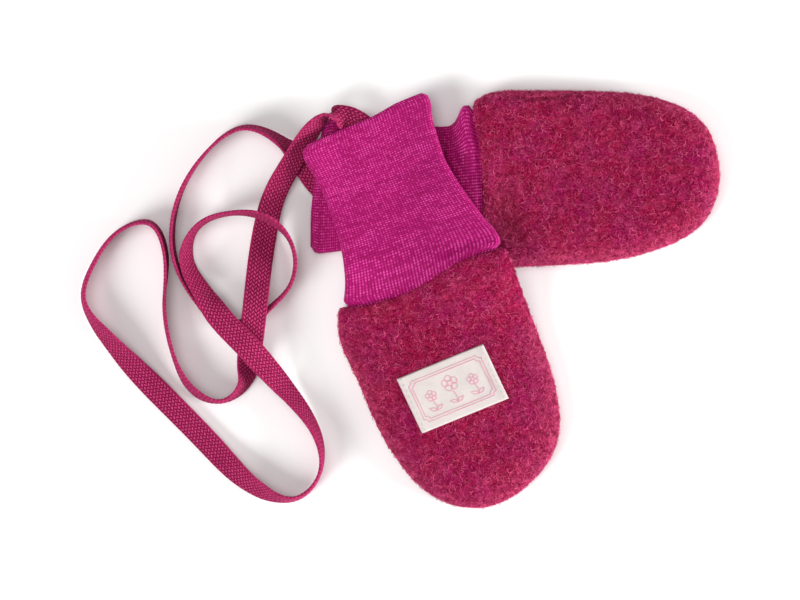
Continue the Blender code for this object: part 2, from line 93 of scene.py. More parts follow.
FRONT = Mitten(
    name="front",
    seam_x=-38.14,
    seam_y=10.54,
    heading=-72.0,
    lifted=True,
    rolls=(14.0, 22.0),
    pile_seeds=(26, 30),
    body=table(
        "along across",
        (-1.0, -38.5), (1.6, -40.0), (6.0, -41.5), (14.0, -43.2), (27.0, -42.2),
        (45.0, -40.5), (60.0, -38.6), (74.0, -34.9), (86.0, -29.7), (95.0, -22.3),
        (101.3, -12.2), (103.6, -2.0), (102.5, 7.1), (98.4, 18.0), (92.0, 27.8),
        (82.0, 35.2), (68.0, 39.2), (52.0, 40.2), (34.0, 39.6), (16.0, 38.6),
        (8.0, 38.3), (3.1, 37.8), (-1.0, 36.9),
    ),
    lip=table(
        "across shift",
        (-40.0, 1.6), (-25.0, 4.6), (-12.0, 5.0), (0.0, 3.1), (13.0, -0.2),
        (24.0, -1.4), (32.0, -1.1), (40.0, 0.2),
    ),
    mouth=table(
        "across shift",
        (-33.0, 3.2), (-15.0, 1.2), (0.0, 0.0), (13.0, -2.4), (26.0, -3.2),
    ),
    cuff=table(
        "along right left bottom top",
        (5.0, -34.7, 32.9, 4.3, 7.5), (3.4, -34.8, 33.0, 4.3, 7.5),
        (1.7, -34.8, 33.0, 4.3, 7.5), (-0.6, -34.9, 33.2, 4.3, 7.5),
        (-2.6, -35.8, 35.4, 3.7, 8.0), (-4.6, -35.0, 35.8, 3.0, 8.2),
        (-8.0, -33.4, 35.1, 1.9, 8.1), (-12.5, -31.8, 33.4, 0.8, 7.3),
        (-20.0, -30.2, 30.6, 0.1, 6.7), (-27.0, -29.6, 28.4, 0.0, 6.4),
        (-34.0, -29.5, 26.3, 0.0, 6.1), (-46.0, -29.8, 24.0, 0.0, 5.8),
        (-58.0, -31.5, 24.2, 0.0, 5.6), (-67.5, -33.2, 25.8, 0.0, 5.6),
        (-70.0, -32.4, 25.4, 0.1, 5.5), (-71.0, -30.2, 24.0, 0.4, 5.2),
    ),
    folds=table(
        "along across reach_along reach_across depth",
        (-7.0, 19.0, 3.5, 9.0, 1.1), (-8.0, -17.0, 4.0, 10.0, 0.9), (-45.0, 2.0, 2.6, 22.0, 0.5),
        (-36.0, 4.0, 2.4, 20.0, 0.35),
    ),
    hollows=table(
        "along across reach_along reach_across depth",
        (26.0, -22.0, 9.0, 11.0, 0.7), (22.0, 20.0, 8.0, 12.0, 0.5), (78.0, 12.0, 9.0, 15.0, 0.5),
        (58.0, -28.0, 14.0, 5.0, 0.4),
    ),
    grooves=table("width depth path", (2.6, 0.35, ((24.0, -34.0), (40.0, -30.0), (56.0, -31.0)))),
    fan=0.05,
)

BACK = Mitten(
    name="back",
    seam_x=-13.33,
    seam_y=50.10,
    heading=2.0,
    lifted=False,
    rolls=(16.0, 12.0),
    pile_seeds=(18, 22),
    body=table(
        "along across",
        (-1.0, -36.4), (6.0, -36.8), (30.0, -36.7), (45.0, -36.4), (60.0, -34.9),
        (74.0, -31.6), (86.0, -27.0), (94.5, -21.0), (100.2, -12.0), (102.9, -2.0),
        (102.4, 8.0), (99.6, 18.0), (94.4, 25.2), (86.0, 31.2), (75.0, 35.2),
        (60.0, 37.8), (40.0, 39.2), (22.0, 39.9), (13.0, 40.1), (7.5, 39.5),
        (3.1, 37.8), (-1.0, 35.3),
    ),
    lip=table(
        "across shift",
        (-40.0, -0.6), (-12.0, 0.0), (0.0, 0.2), (12.0, 0.2), (22.0, -1.2),
        (30.0, -2.3), (40.0, -1.6),
    ),
    mouth=table(
        "across shift",
        (-28.0, -2.2), (-12.0, -1.5), (0.0, 0.0), (15.0, 2.6), (31.0, 5.6),
    ),
    cuff=table(
        "along right left bottom top",
        (5.0, -32.0, 31.4, 4.3, 7.5), (-0.4, -32.2, 31.8, 4.3, 7.5),
        (-2.3, -32.4, 33.8, 3.8, 8.2), (-4.2, -32.2, 33.7, 3.1, 8.5),
        (-5.9, -31.9, 32.2, 2.5, 8.6), (-7.4, -31.6, 29.3, 2.0, 8.4),
        (-9.6, -31.2, 26.7, 1.3, 7.8), (-12.8, -30.4, 25.2, 0.5, 6.8),
        (-16.0, -29.8, 25.1, 0.1, 6.0), (-24.0, -28.4, 26.2, 0.0, 5.5),
        (-42.0, -26.8, 28.2, 0.0, 5.5), (-58.0, -26.7, 29.9, 0.0, 5.6),
        (-68.0, -27.4, 30.8, 0.0, 5.6), (-70.6, -26.6, 30.0, 0.1, 5.5),
        (-71.5, -24.8, 28.4, 0.4, 5.2),
    ),
    folds=table(
        "along across reach_along reach_across depth",
        (-16.5, 17.0, 4.6, 16.0, 3.0), (-9.0, -10.0, 4.0, 9.0, 0.5),
    ),
    hollows=table(
        "along across reach_along reach_across depth",
        (4.0, -27.0, 13.0, 14.0, 1.5), (30.0, -10.0, 10.0, 14.0, 0.6),
        (60.0, 14.0, 12.0, 13.0, 0.5), (84.0, -8.0, 7.0, 12.0, 0.4),
        (9.0, -8.0, 8.0, 16.0, 2.0),
    ),
    grooves=table(
        "width depth path",
        (0.9, 1.3, ((8.2, 38.4), (13.7, 36.2), (22.3, 35.5), (30.9, 35.6), (42.0, 37.2))),
    ),
    fan=0.1,
)

# The bag's cloth and panels: a flat lower one, and an upper one that domes over it.
FLEECE_WALL = 4.0
PIECE_GAP = 0.3
BAG_HEIGHT = 11.8
LOWER_EDGE_HEIGHT = 3.2
UPPER_EDGE_HEIGHT = 5.1
LOWER_ROLL = 4.0
SEAM_ROLL = 1.5
SIDE_WALL = 3.3
LIP_ROLL = 5.3
ROLL_GROWTH_FROM = 6.0
ROLL_GROWTH = 20.0
ROLL_BLEND_WIDTH = 50.0
LIP_TAPER = 1.4
LIP_TAPER_LENGTH = 5.0
LIP_CURVE_LENGTH = 25.0
TIP_CENTRE = 60.0
OUTLINE_STEPS = 10
PANEL_STEP = 1.4
PANEL_INSETS = (
    *(0.0, 0.5, 1.0, 1.5, 2.3, 3.3, 3.8, 4.8, 6.2, 8.0, 10.0),
    *(12.5, 15.0, 18.0, 21.0, 24.0, 27.0, 30.0, 33.5),
)
PANEL_VOXEL = 0.9
PILE_REACH = 0.35
PANEL_SMOOTHING = 6
LEAST_HEIGHT = 0.05

# Where a panel shows its pile: how much it counts that the cloth looks up and outwards, the sum
# at which the pile begins, and how much further on it is full. The lower panel shows it below the
# seam alone, where the cloth looks outwards and not up.
SHOWN_UP = 0.8
SHOWN_OUT = 0.6
SHOWN_FROM = -0.15
SHOWN_FADE = 0.5
RIM_OUT_FROM = 0.1
RIM_OUT_FADE = 0.4
RIM_UP_TO = 0.7
RIM_UP_FADE = 0.3

# The curled locks of the pile: most to a square metre, tilt in radians, sizes, seeds and curves.
MOST_LOCKS = 2.0e6
LOCK_TILT = 0.45
LOCK_SIZES = (0.55, 1.45)
LOCK_SHAPES = 4
TILT_SEED = 0
SHAPE_SEED = 0
SIZE_SEED = 3
TINT_SEED = 9
RINGS = table("turns start end height", (0.8, 0.35, 0.75, 0.25), (0.5, 0.8, 0.55, 0.35))
WAVES = table(
    "start first second end",
    ((-1.1, 0.0, -0.1), (-0.2, 1.6, 0.3), (0.3, -1.6, 0.4), (1.1, 0.1, 0.1)),
    ((-1.2, -0.3, -0.1), (-0.6, 0.8, 0.3), (0.5, 0.9, 0.5), (1.0, -0.4, 0.3)),
)

# The label on the front mitten.
LABEL_WIDTH = 40.0
LABEL_LENGTH = 25.8
LABEL_WALL = 0.7
LABEL_ALONG = 49.7
LABEL_ACROSS = -3.1
LABEL_TURN = 4.1
LABEL_LEAN = 7.2
LABEL_STEP = 0.5
LABEL_FADE = 1.5
LABEL_MERGE = 0.01
LABEL_FOLD = 2.8
LABEL_FOLD_RISE = 0.15
LABEL_FOLD_FADE = 0.6
LABEL_UNEVEN = 0.1
LABEL_UNEVEN_SIDE = (3.7, 0.6)
LABEL_UNEVEN_DOWN = (2.9, 0.4)
LABEL_CORNER_RISE = 0.25
PATTERN_LIFT = 0.04
SEWING_LIFT = 0.03
SEWING_SIDE = 18.3
SEWING_END_GAP = 1.2
PATTERN_STITCH = {"Spacing": 0.00062, "Length": 0.00085, "Width": 0.00042, "Height": 0.0002}
SEWING_STITCH = {"Spacing": 0.0024, "Length": 0.0017, "Width": 0.0003, "Height": 0.00022}
BORDERS = table("half_down half_side corner", (9.4, 16.6, 1.6), (8.3, 15.5, 1.6))
FLOWERS = table("down side size", (-2.6, 0.0, 3.6), (-0.6, -9.6, 2.5), (-0.6, 9.6, 2.5))
PETALS = 5
FLOWER_CENTRE = 0.28
PETAL_REACH = 0.62
PETAL_SWELL = 0.34
PETAL_WIDTH = 0.93
PETAL_OPENING = 60
STALK_FOOT = 6.0
STALK_BEND = 0.5
LEAF_REACH = 3.2
LEAF_WIDTH = 0.22
LEAF_BEARINGS = (28, 152)
PICKS_PER_MM = 3.2
ENDS_PER_MM = 1.6
WELL_ABOVE = 50.0

# Sampling of a cuff, and how its folds fade in and its ribs fan out towards the seam.
SAMPLES_PER_WALE = 3
SAMPLES_PER_COURSE = 2
INNER_ROWS = 14
RIB_WALL = 1.3
CUFF_LIP_REACH = 20.0
CUFF_MOUTH_REACH = 41.0
CUFF_MOUTH_START = 30.0
FOLDS_FROM = 1.0
FOLDS_FADE = 4.0
FAN_REACH = 26.0
FLUTES_REACH = 17.0
FLUTES_FADE = 10.0
MOUTH_FLUTES_REACH = 8.0
LIP_ROWS = 3
EDGE_SOFTNESS = 9.0
EDGE_PULL = 20.0
SEAM_PUFF = 1.3
SEAM_PUFF_AT = 1.2
SEAM_PUFF_REACH = 3.6
SOFT_WAVE = 0.22
SOFT_WAVE_LENGTH = 11.0

# The joining tape, from inside the front cuff to inside the back one. `turn` is the angle of its
# width about its own run: 0 lies flat, 90 stands on edge with the left edge up, 180 lies flat with
# the other face up. `lift` is the height of its lowest edge.
TAPE_ROUTE = table(
    "x y turn lift",
    (-54.2, 64.3, 0, 8.4), (-65.0, 75.0, 0, 8.4), (-70.4, 77.9, 0, 8.3),
    (-74.4, 78.8, 25, 8.1), (-78.4, 79.4, 88, 7.0), (-82.2, 77.3, 114, 6.6),
    (-86.5, 72.2, 132, 5.6), (-90.6, 65.8, 141, 4.8), (-95.4, 57.6, 147, 3.9),
    (-100.7, 48.2, 154, 2.8), (-106.2, 29.9, 168, 0.5), (-109.0, 9.0, 180, 7.6),
    (-110.2, -3.0, 183, 11.0), (-111.4, -13.0, 178, 10.4), (-113.1, -26.4, 158, 3.2),
    (-115.7, -36.8, 112, 0.3), (-124.7, -43.2, 95, 0.3), (-136.3, -39.1, 105, 0.3),
    (-145.3, -23.9, 96, 0.3), (-149.3, 0.2, 94, 0.3), (-149.0, 21.7, 84, 0.3),
    (-155.7, 33.3, 82, 0.3), (-166.0, 31.5, 85, 0.3), (-179.7, 15.7, 82, 0.3),
    (-184.0, 1.1, 81, 0.3), (-175.7, -13.8, 58, 0.3), (-151.4, -39.8, 11, 0.3),
    (-128.1, -63.6, 15, 0.3), (-107.4, -81.8, 54, 0.3), (-92.9, -84.9, 82, 0.3),
    (-83.0, -75.0, 88, 0.3), (-83.2, -59.1, 74, 0.3), (-95.4, -40.2, 48, 1.2),
    (-105.4, -28.6, 20, 8.0), (-114.9, -18.1, 3, 12.2), (-125.1, -7.3, 6, 11.8),
    (-132.3, 3.0, 42, 5.8), (-139.9, 19.4, 62, 0.3), (-134.9, 31.8, 82, 0.8),
    (-122.0, 37.2, 85, 2.8), (-105.4, 35.2, 76, 5.2), (-94.4, 23.4, 86, 1.6),
    (-95.6, 6.2, 86, 0.3), (-104.4, -3.4, 82, 0.1), (-110.6, -8.4, 64, 0.1),
    (-119.0, -11.6, 52, 0.1), (-127.4, -7.4, 62, 0.1), (-135.4, 0.4, 79, 0.2),
    (-140.3, 7.2, 84, 0.2), (-145.0, 18.8, 84, 0.3), (-144.3, 40.0, 86, 0.3),
    (-130.9, 64.0, 92, 0.3), (-114.7, 74.2, 100, 0.3), (-98.0, 67.3, 118, 0.3),
    (-89.6, 58.9, 180, 2.2), (-81.3, 48.3, 180, 2.1), (-65.4, 43.2, 180, 2.1),
)
ROUTE_STEPS = 12
SAMPLES_PER_STRAND = 3
TAPE_EDGE_POINTS = 3

# How each cloth takes the light, and the depth of its finest relief, in metres.
CLOTHS = table(
    "name roughness shine sheen tint bump",
    ("braided_cotton", 0.85, 0.1, 0.12, (1.0, 0.2, 0.45), 0.00018),
    ("fine_rib", 0.6, 0.1, 0.2, (1.0, 0.25, 0.7), 0.0002),
    ("wool_fleece", 0.9, 0.03, 0.45, (1.0, 0.03, 0.24), 0.0005),
    ("wool_locks", 0.8, 0.03, 0.7, (1.0, 0.07, 0.3), 0.00006),
    ("woven_satin", 0.55, 0.1, 0.1, (1.0, 0.9, 0.9), 0.00008),
    ("label_thread", 0.55, 0.1, 0.15, (1.0, 0.85, 0.9), 0.00005),
    ("sewing_thread", 0.55, 0.1, 0.15, (1.0, 0.85, 0.9), 0.00005),
)
SHEEN_ROUGHNESS = 0.45

# The level of each relief that lies on the piece's own surface, and the one that the braid evens
# out to along the tape's edges.
BRAID_MIDDLE = 0.5
BRAID_EDGE = 0.66
KNIT_MIDDLE = 0.6
LUMP_MIDDLE = 0.2

# Painted sheen low down on the wool's edges: how pale it makes them, and the heights, in metres,
# between which it fades.
RIM_PAINTED_SHEEN = 0.42
PAINTED_SHEEN_HEIGHTS = (0.007, 0.0112)

# The stage, in metres. A light's strength is the setting of the same name.
FLOOR_REACH = 4.0
FLOOR_DROP = 0.0002
VIEW_DEPTH = 20.0
LIGHTS = table(
    "name place target size",
    ("side_light", (2.4, -0.5, 0.58), (0.0, 0.0, 0.0), 1.3),
    ("near_light", (-1.8, -1.2, 1.3), (-0.05, 0.0, 0.0), 1.2),
    ("top_light", (-0.5, 0.3, 2.5), (-0.03, 0.0, 0.0), 1.8),
)


# Curves, sections and places


def smoothstep(value):
    part = np.clip(value, 0.0, 1.0)
    return part * part * (3.0 - 2.0 * part)


def natural_curve(rows, steps):
    """Points of the natural cubic curve through rows of (x, y), `steps` of them to each span."""
    points = np.array(rows, float)
    spans = np.linalg.norm(np.diff(points, axis=0), axis=1)
    count = len(points)
    system = np.eye(count)
    slopes = np.zeros_like(points)
    for row in range(1, count - 1):
        before = spans[row - 1]
        after = spans[row]
        system[row, row - 1 : row + 2] = (before, 2.0 * (before + after), after)
        rise = (points[row + 1] - points[row]) / after
        slopes[row] = 6.0 * (rise - (points[row] - points[row - 1]) / before)
    bends = np.linalg.solve(system, slopes)
    found = []
    for span, length in enumerate(spans):
        for right in np.arange(steps) / steps:
            left = 1.0 - right
            bend = (left**3 - left) * bends[span] + (right**3 - right) * bends[span + 1]
            found.append(left * points[span] + right * points[span + 1] + bend * length**2 / 6.0)
    found.append(points[-1])
    return np.array(found)


def steady_curve(places, values, at):
    """Values at `at` on a smooth curve through these values that never swings past them."""
    places = np.array(places, float)
    values = np.array(values, float)
    widths = np.diff(places)
    rises = np.diff(values) / widths
    slopes = np.zeros(len(values))
    for row in range(1, len(values) - 1):
        before = rises[row - 1]
        after = rises[row]
        if before * after > 0:
            slopes[row] = 2.0 * before * after / (before + after)
    slopes[0] = rises[0]
    slopes[-1] = rises[-1]
    at = np.clip(at, places[0], places[-1])
    span = np.clip(np.searchsorted(places, at, side="right") - 1, 0, len(widths) - 1)
    width = widths[span]
    share = (at - places[span]) / width
    level = values[span] + (values[span + 1] - values[span]) * smoothstep(share)
    start_bend = share * (1.0 - share) ** 2 * slopes[span] * width
    end_bend = share**2 * (share - 1.0) * slopes[span + 1] * width
    return level + start_bend + end_bend


def way_along(path):
    """How far along a path each of its points is."""
    return np.concatenate([[0.0], np.cumsum(np.linalg.norm(np.diff(path, axis=0), axis=1))])


def end_shift(line, across):
    return steady_curve([row.across for row in line], [row.shift for row in line], across)


def front_lift(x, y):
    """How far the front mitten is raised here by the back one and by the tape under its mouth."""
    over_bag = smoothstep((x - LEVEL_FROM_X) / (LEVEL_TO_X - LEVEL_FROM_X))
    level = CUFF_LEVEL + (BAG_LEVEL - CUFF_LEVEL) * over_bag
    level = level + CORNER_RAISE * smoothstep((x - CORNER_FROM_X) / (CORNER_TO_X - CORNER_FROM_X))
    foot = CLIMB_FOOT_CUFF + (CLIMB_FOOT_BAG - CLIMB_FOOT_CUFF) * over_bag
    return level * smoothstep((y - foot) / (CLIMB_TOP - foot))


def placed(mitten, along, across, height):
    """Points on the table, in metres, from places in the mitten's own frame, in millimetres."""
    turn = radians(mitten.heading)
    x = mitten.seam_x + along * cos(turn) - across * sin(turn) + PAIR_SHIFT_X
    y = mitten.seam_y + along * sin(turn) + across * cos(turn) + PAIR_SHIFT_Y
    if mitten.lifted:
        height = height + front_lift(x, y)
    return np.stack([x, y, height], axis=-1) * MM


# Meshes, node trees and materials


def grid_faces(rows, columns, closed_rows, closed_columns):
    """Quads between neighbouring points of a grid that is kept row by row.

    A closed direction joins its end to its start.
    """
    row = np.arange(rows if closed_rows else rows - 1)
    column = np.arange(columns if closed_columns else columns - 1)
    here, beside = np.meshgrid(row, column, indexing="ij")
    next_row = (here + 1) % rows
    next_column = (beside + 1) % columns
    corners = (
        here * columns + beside,
        here * columns + next_column,
        next_row * columns + next_column,
        next_row * columns + beside,
    )
    return np.stack(corners, axis=-1).reshape(-1, 4)


def linked(name, data):
    made = bpy.data.objects.new(name, data)
    bpy.context.scene.collection.objects.link(made)
    return made


def mesh_object(name, points, faces, edges=()):
    mesh = bpy.data.meshes.new(name)
    mesh.from_pydata(np.reshape(points, (-1, 3)).tolist(), list(edges), list(faces))
    return linked(name, mesh)


def face_outwards(mesh, merged=0.0):
    """Makes one of any points within `merged` of each other, and turns the faces outwards."""
    work = bmesh.new()
    work.from_mesh(mesh)
    if merged:
        bmesh.ops.remove_doubles(work, verts=work.verts, dist=merged)
    bmesh.ops.recalc_face_normals(work, faces=work.faces)
    work.to_mesh(mesh)
    work.free()
    mesh.shade_smooth()


def keep_uv(mesh, name, places):
    """Keeps a place on the cloth for each corner of each face."""
    mesh.uv_layers.new(name=name).data.foreach_set("uv", places.astype(np.float32).ravel())


def keep_field(mesh, name, values):
    """Keeps a value at each point."""
    kept = mesh.attributes.new(name, "FLOAT", "POINT")
    kept.data.foreach_set("value", values.astype(np.float32).ravel())


def add(tree, kind, inputs=(), **settings):
    """Adds a node and makes its settings. Its inputs, by name or number, are values or sockets."""
    made = tree.nodes.new(kind)
    for name, value in settings.items():
        setattr(made, name, value)
    for key, value in dict(inputs).items():
        if isinstance(value, bpy.types.NodeSocket):
            tree.links.new(value, made.inputs[key])
        else:
            made.inputs[key].default_value = value
    return made


def result_of(tree, kind, inputs=(), **settings):
    """The first output of a node that is added in this way."""
    return add(tree, kind, inputs, **settings).outputs[0]


def maths(tree, operation, *values):
    """What one operation makes of these values."""
    return result_of(tree, "ShaderNodeMath", enumerate(values), operation=operation)


def times(tree, first, second):
    return maths(tree, "MULTIPLY", first, second)


def plus(tree, first, second):
    return maths(tree, "ADD", first, second)


def minus(tree, first, second):
    return maths(tree, "SUBTRACT", first, second)


def times_plus(tree, first, second, more):
    return maths(tree, "MULTIPLY_ADD", first, second, more)


def joined(tree, *values):
    """A vector of these numbers."""
    return result_of(tree, "ShaderNodeCombineXYZ", enumerate(values))


def wave(tree, value):
    """A cosine wave from 0 to 1 that peaks at each whole number."""
    turned = maths(tree, "COSINE", times(tree, value, 2.0 * pi))
    return times_plus(tree, turned, 0.5, 0.5)


def off_centre(tree, value):
    """How far a value is from the nearest whole number, from 0 to 0.5."""
    return maths(tree, "PINGPONG", value, 0.5)


def split(tree, vector):
    return add(tree, "ShaderNodeSeparateXYZ", {0: vector}).outputs


def geometry_tree(name, **inputs):
    """A geometry tree with these inputs and a material, and the sockets that they come in by."""
    tree = bpy.data.node_groups.new(name, "GeometryNodeTree")
    for label, kind in {"Geometry": "Geometry", **inputs, "Material": "Material"}.items():
        tree.interface.new_socket(name=label, in_out="INPUT", socket_type="NodeSocket" + kind)
    tree.interface.new_socket(name="Geometry", in_out="OUTPUT", socket_type="NodeSocketGeometry")
    return tree, tree.nodes.new("NodeGroupInput").outputs


def field(tree, name, kind="FLOAT"):
    """What the mesh keeps under this name."""
    return result_of(tree, "GeometryNodeInputNamedAttribute", {"Name": name}, data_type=kind)


def end_tree(tree, given, geometry):
    """Ends a tree in plain geometry of the material that it is given."""
    real = result_of(tree, "GeometryNodeRealizeInstances", {0: geometry})
    painted = {"Geometry": real, "Material": given["Material"]}
    painted = result_of(tree, "GeometryNodeSetMaterial", painted)
    tree.links.new(painted, tree.nodes.new("NodeGroupOutput").inputs[0])
    return tree


def raised(tree, geometry, height):
    """Moves a surface out along its normals."""
    out = {0: result_of(tree, "GeometryNodeInputNormal"), "Scale": height}
    out = result_of(tree, "ShaderNodeVectorMath", out, operation="SCALE")
    return result_of(tree, "GeometryNodeSetPosition", {"Geometry": geometry, "Offset": out})


def random_value(tree, kind, low, high, seed):
    """A random value for each lock, from a fixed seed."""
    first, result = {"FLOAT_VECTOR": (0, 0), "FLOAT": (2, 1), "INT": (4, 2)}[kind]
    inputs = {first: low, first + 1: high, "Seed": seed}
    return add(tree, "FunctionNodeRandomValue", inputs, data_type=kind).outputs[result]


def grown(obj, tree, values):
    """The plain mesh that a geometry tree makes of an object."""
    modifier = obj.modifiers.new(tree.name, "NODES")
    modifier.node_group = tree
    for item in tree.interface.items_tree:
        if item.in_out == "INPUT" and item.name in values:
            modifier[item.identifier] = values[item.name]
    graph = bpy.context.evaluated_depsgraph_get()
    mesh = bpy.data.meshes.new_from_object(obj.evaluated_get(graph))
    obj.modifiers.remove(modifier)
    return mesh


def cloth_material(name):
    """A cloth with no colour or relief yet, and its tree."""
    cloth = next(row for row in CLOTHS if row.name == name)
    material = bpy.data.materials.new(name)
    material.use_nodes = True
    tree = material.node_tree
    relief = add(tree, "ShaderNodeBump", {"Distance": cloth.bump, "Strength": 1.0}, name="Relief")
    tree.links.new(relief.outputs[0], tree.nodes["Principled BSDF"].inputs["Normal"])
    settings = {
        "Roughness": cloth.roughness,
        "Specular IOR Level": cloth.shine,
        "Sheen Weight": cloth.sheen,
        "Sheen Roughness": SHEEN_ROUGHNESS,
        "Sheen Tint": (*cloth.tint, 1.0),
    }
    for label, value in settings.items():
        tree.nodes["Principled BSDF"].inputs[label].default_value = value
    return material, tree


def coloured(material, colour, height):
    """Gives a cloth its colour and the height pattern of its relief."""
    tree = material.node_tree
    tree.links.new(colour, tree.nodes["Principled BSDF"].inputs["Base Color"])
    tree.links.new(height, tree.nodes["Relief"].inputs["Height"])
    return material


def own_place(tree):
    """Where a point is on its piece."""
    return add(tree, "ShaderNodeTexCoord").outputs["Object"]


def cloth_place(tree, name):
    """Where a point is on the cloth, by the piece's own map."""
    return split(tree, result_of(tree, "ShaderNodeUVMap", uv_map=name))


def darkened(colour, share):
    return [value * share for value in colour]


def blend(tree, share, first, second):
    """A colour between two colours."""
    made = add(tree, "ShaderNodeMix", data_type="RGBA")
    for number, value in ((0, share), (6, first), (7, second)):
        socket = made.inputs[number]
        if isinstance(value, bpy.types.NodeSocket):
            tree.links.new(value, socket)
        else:
            socket.default_value = value if isinstance(value, float) else (*value[:3], 1.0)
    return made.outputs[2]


def grain(tree, where, scale, detail=2.0, roughness=0.5):
    inputs = {"Vector": where, "Scale": scale, "Detail": detail, "Roughness": roughness}
    return result_of(tree, "ShaderNodeTexNoise", inputs)


def stretched(tree, value, span, to=(0.0, 1.0)):
    """A value in this span, brought to another span and held within it."""
    return result_of(tree, "ShaderNodeMapRange", enumerate((value, *span, *to)))


def chance(tree, *numbers):
    """A random number from 0 to 1 for each cell that these whole numbers name."""
    return result_of(tree, "ShaderNodeTexWhiteNoise", {"Vector": joined(tree, *numbers)})


def finish_piece(obj, mesh):
    """Gives a piece its last mesh, and lets it ride on the body."""
    obj.data = mesh
    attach(obj, BODY)


# Settings


class StageSettings(bpy.types.PropertyGroup):
    """The view, the floor and the lights."""

    view_width: FloatProperty(
        name="View Width", description="Width of table in the picture", default=0.344,
        unit="LENGTH",
    )
    camera_height: FloatProperty(
        name="Camera Height", description="Height of the camera", default=2.0, unit="LENGTH"
    )
    aim: FloatVectorProperty(
        name="Aim", description="Point of the table in the middle of the picture", size=2,
        default=(-0.0482, -0.0003), unit="LENGTH",
    )
    floor_colour: FloatVectorProperty(
        name="Floor", description="Colour of the floor", subtype="COLOR",
        default=(0.99, 0.988, 0.985),
    )
    side_light: FloatProperty(
        name="Side Light", description="Strength of the light at the right", default=112.0,
        unit="POWER",
    )
    near_light: FloatProperty(
        name="Near Light", description="Strength of the light on the near side", default=48.0,
        unit="POWER",
    )
    top_light: FloatProperty(
        name="Top Light", description="Strength of the light overhead", default=22.0,
        unit="POWER",
    )
    room_light: FloatProperty(
        name="Room Light", description="Strength of the light from all round", default=0.32
    )


class TapeSettings(bpy.types.PropertyGroup):
    """The braided joining tape."""

    width: FloatProperty(
        name="Width", description="Width of the tape", default=0.0106, unit="LENGTH"
    )
    thickness: FloatProperty(
        name="Thickness", description="Thickness of the tape", default=0.0013, unit="LENGTH"
    )
    strands: IntProperty(
        name="Strands", description="Columns of stitches on each face", default=8, min=2
    )
    stitch: FloatProperty(
        name="Stitch", description="Length of a stitch", default=0.00178, unit="LENGTH"
    )
    depth: FloatProperty(
        name="Relief", description="Height of the stitches", default=0.00026, unit="LENGTH"
    )
    colour: FloatVectorProperty(
        name="Colour", description="Colour of the yarn", subtype="COLOR",
        default=(0.36, 0.015, 0.092),
    )
    shade: FloatVectorProperty(
        name="Shade", description="Colour between the stitches", subtype="COLOR",
        default=(0.125, 0.002, 0.026),
    )
    # The stitches' crowns are blended towards this colour as a painted highlight.
    light: FloatVectorProperty(
        name="Light", description="Colour of the stitches' crowns", subtype="COLOR",
        default=(0.62, 0.075, 0.225),
    )


class CuffSettings(bpy.types.PropertyGroup):
    """The ribbed cuffs."""

    wales: IntProperty(name="Wales", description="Ribs all round a cuff", default=100, min=12)
    course: FloatProperty(
        name="Course", description="Height of a row of stitches", default=0.000906, unit="LENGTH"
    )
    depth: FloatProperty(
        name="Relief", description="Height of the ribs", default=0.00026, unit="LENGTH"
    )
    colour: FloatVectorProperty(
        name="Colour", description="Colour of the yarn", subtype="COLOR",
        default=(0.53, 0.008, 0.202),
    )
    shade: FloatVectorProperty(
        name="Shade", description="Colour between the ribs", subtype="COLOR",
        default=(0.17, 0.0, 0.038),
    )
    # The knit's crowns are blended towards this colour as a painted sheen.
    light: FloatVectorProperty(
        name="Light", description="Colour of the silky crowns", subtype="COLOR",
        default=(0.83, 0.21, 0.53),
    )


class FleeceSettings(bpy.types.PropertyGroup):
    """The curled wool fleece of the bags."""

    lumps: FloatProperty(
        name="Lumps", description="Height of the matted lumps", default=0.0006, unit="LENGTH"
    )
    curl_gap: FloatProperty(
        name="Curl Gap", description="Least distance between curls", default=0.00076, unit="LENGTH"
    )
    curl_size: FloatProperty(
        name="Curl Size", description="Size of a usual curl", default=0.00086, unit="LENGTH"
    )
    curl_thickness: FloatProperty(
        name="Curl Thickness", description="Thickness of a lock", default=0.00017, unit="LENGTH"
    )
    colour: FloatVectorProperty(
        name="Colour", description="Main colour of the wool", subtype="COLOR",
        default=(0.375, 0.001, 0.049),
    )
    magenta: FloatVectorProperty(
        name="Magenta", description="Colour of its cooler patches", subtype="COLOR",
        default=(0.35, 0.0018, 0.096),
    )
    # Painted shade low between the wool's threads, and also the colour of the darkest locks.
    shade_and_dark_lock_colour: FloatVectorProperty(
        name="Depth", description="Colour deep between the locks", subtype="COLOR",
        default=(0.15, 0.0003, 0.019),
    )
    # The lightest locks and pale patches, and also the colour of the wool's painted sheen and
    # highlights.
    light: FloatVectorProperty(
        name="Light", description="Colour of the lightest locks", subtype="COLOR",
        default=(0.86, 0.155, 0.32),
    )


class LabelSettings(bpy.types.PropertyGroup):
    """The woven label."""

    colour: FloatVectorProperty(
        name="Colour", description="Colour of the satin", subtype="COLOR",
        default=(0.73, 0.662, 0.64),
    )
    thread: FloatVectorProperty(
        name="Thread", description="Colour of the pattern", subtype="COLOR",
        default=(0.80, 0.36, 0.47),
    )
    sewing: FloatVectorProperty(
        name="Sewing", description="Colour of the sewing thread", subtype="COLOR",
        default=(0.62, 0.56, 0.56),
    )


# Operators


def soft_light(light, strength):
    data = bpy.data.lights.new(light.name, "AREA")
    data.shape = "DISK"
    data.size = light.size
    data.energy = strength
    lamp = linked(light.name, data)
    lamp.location = light.place
    aim = Vector(light.target) - lamp.location
    lamp.rotation_euler = aim.to_track_quat("-Z", "Y").to_euler()


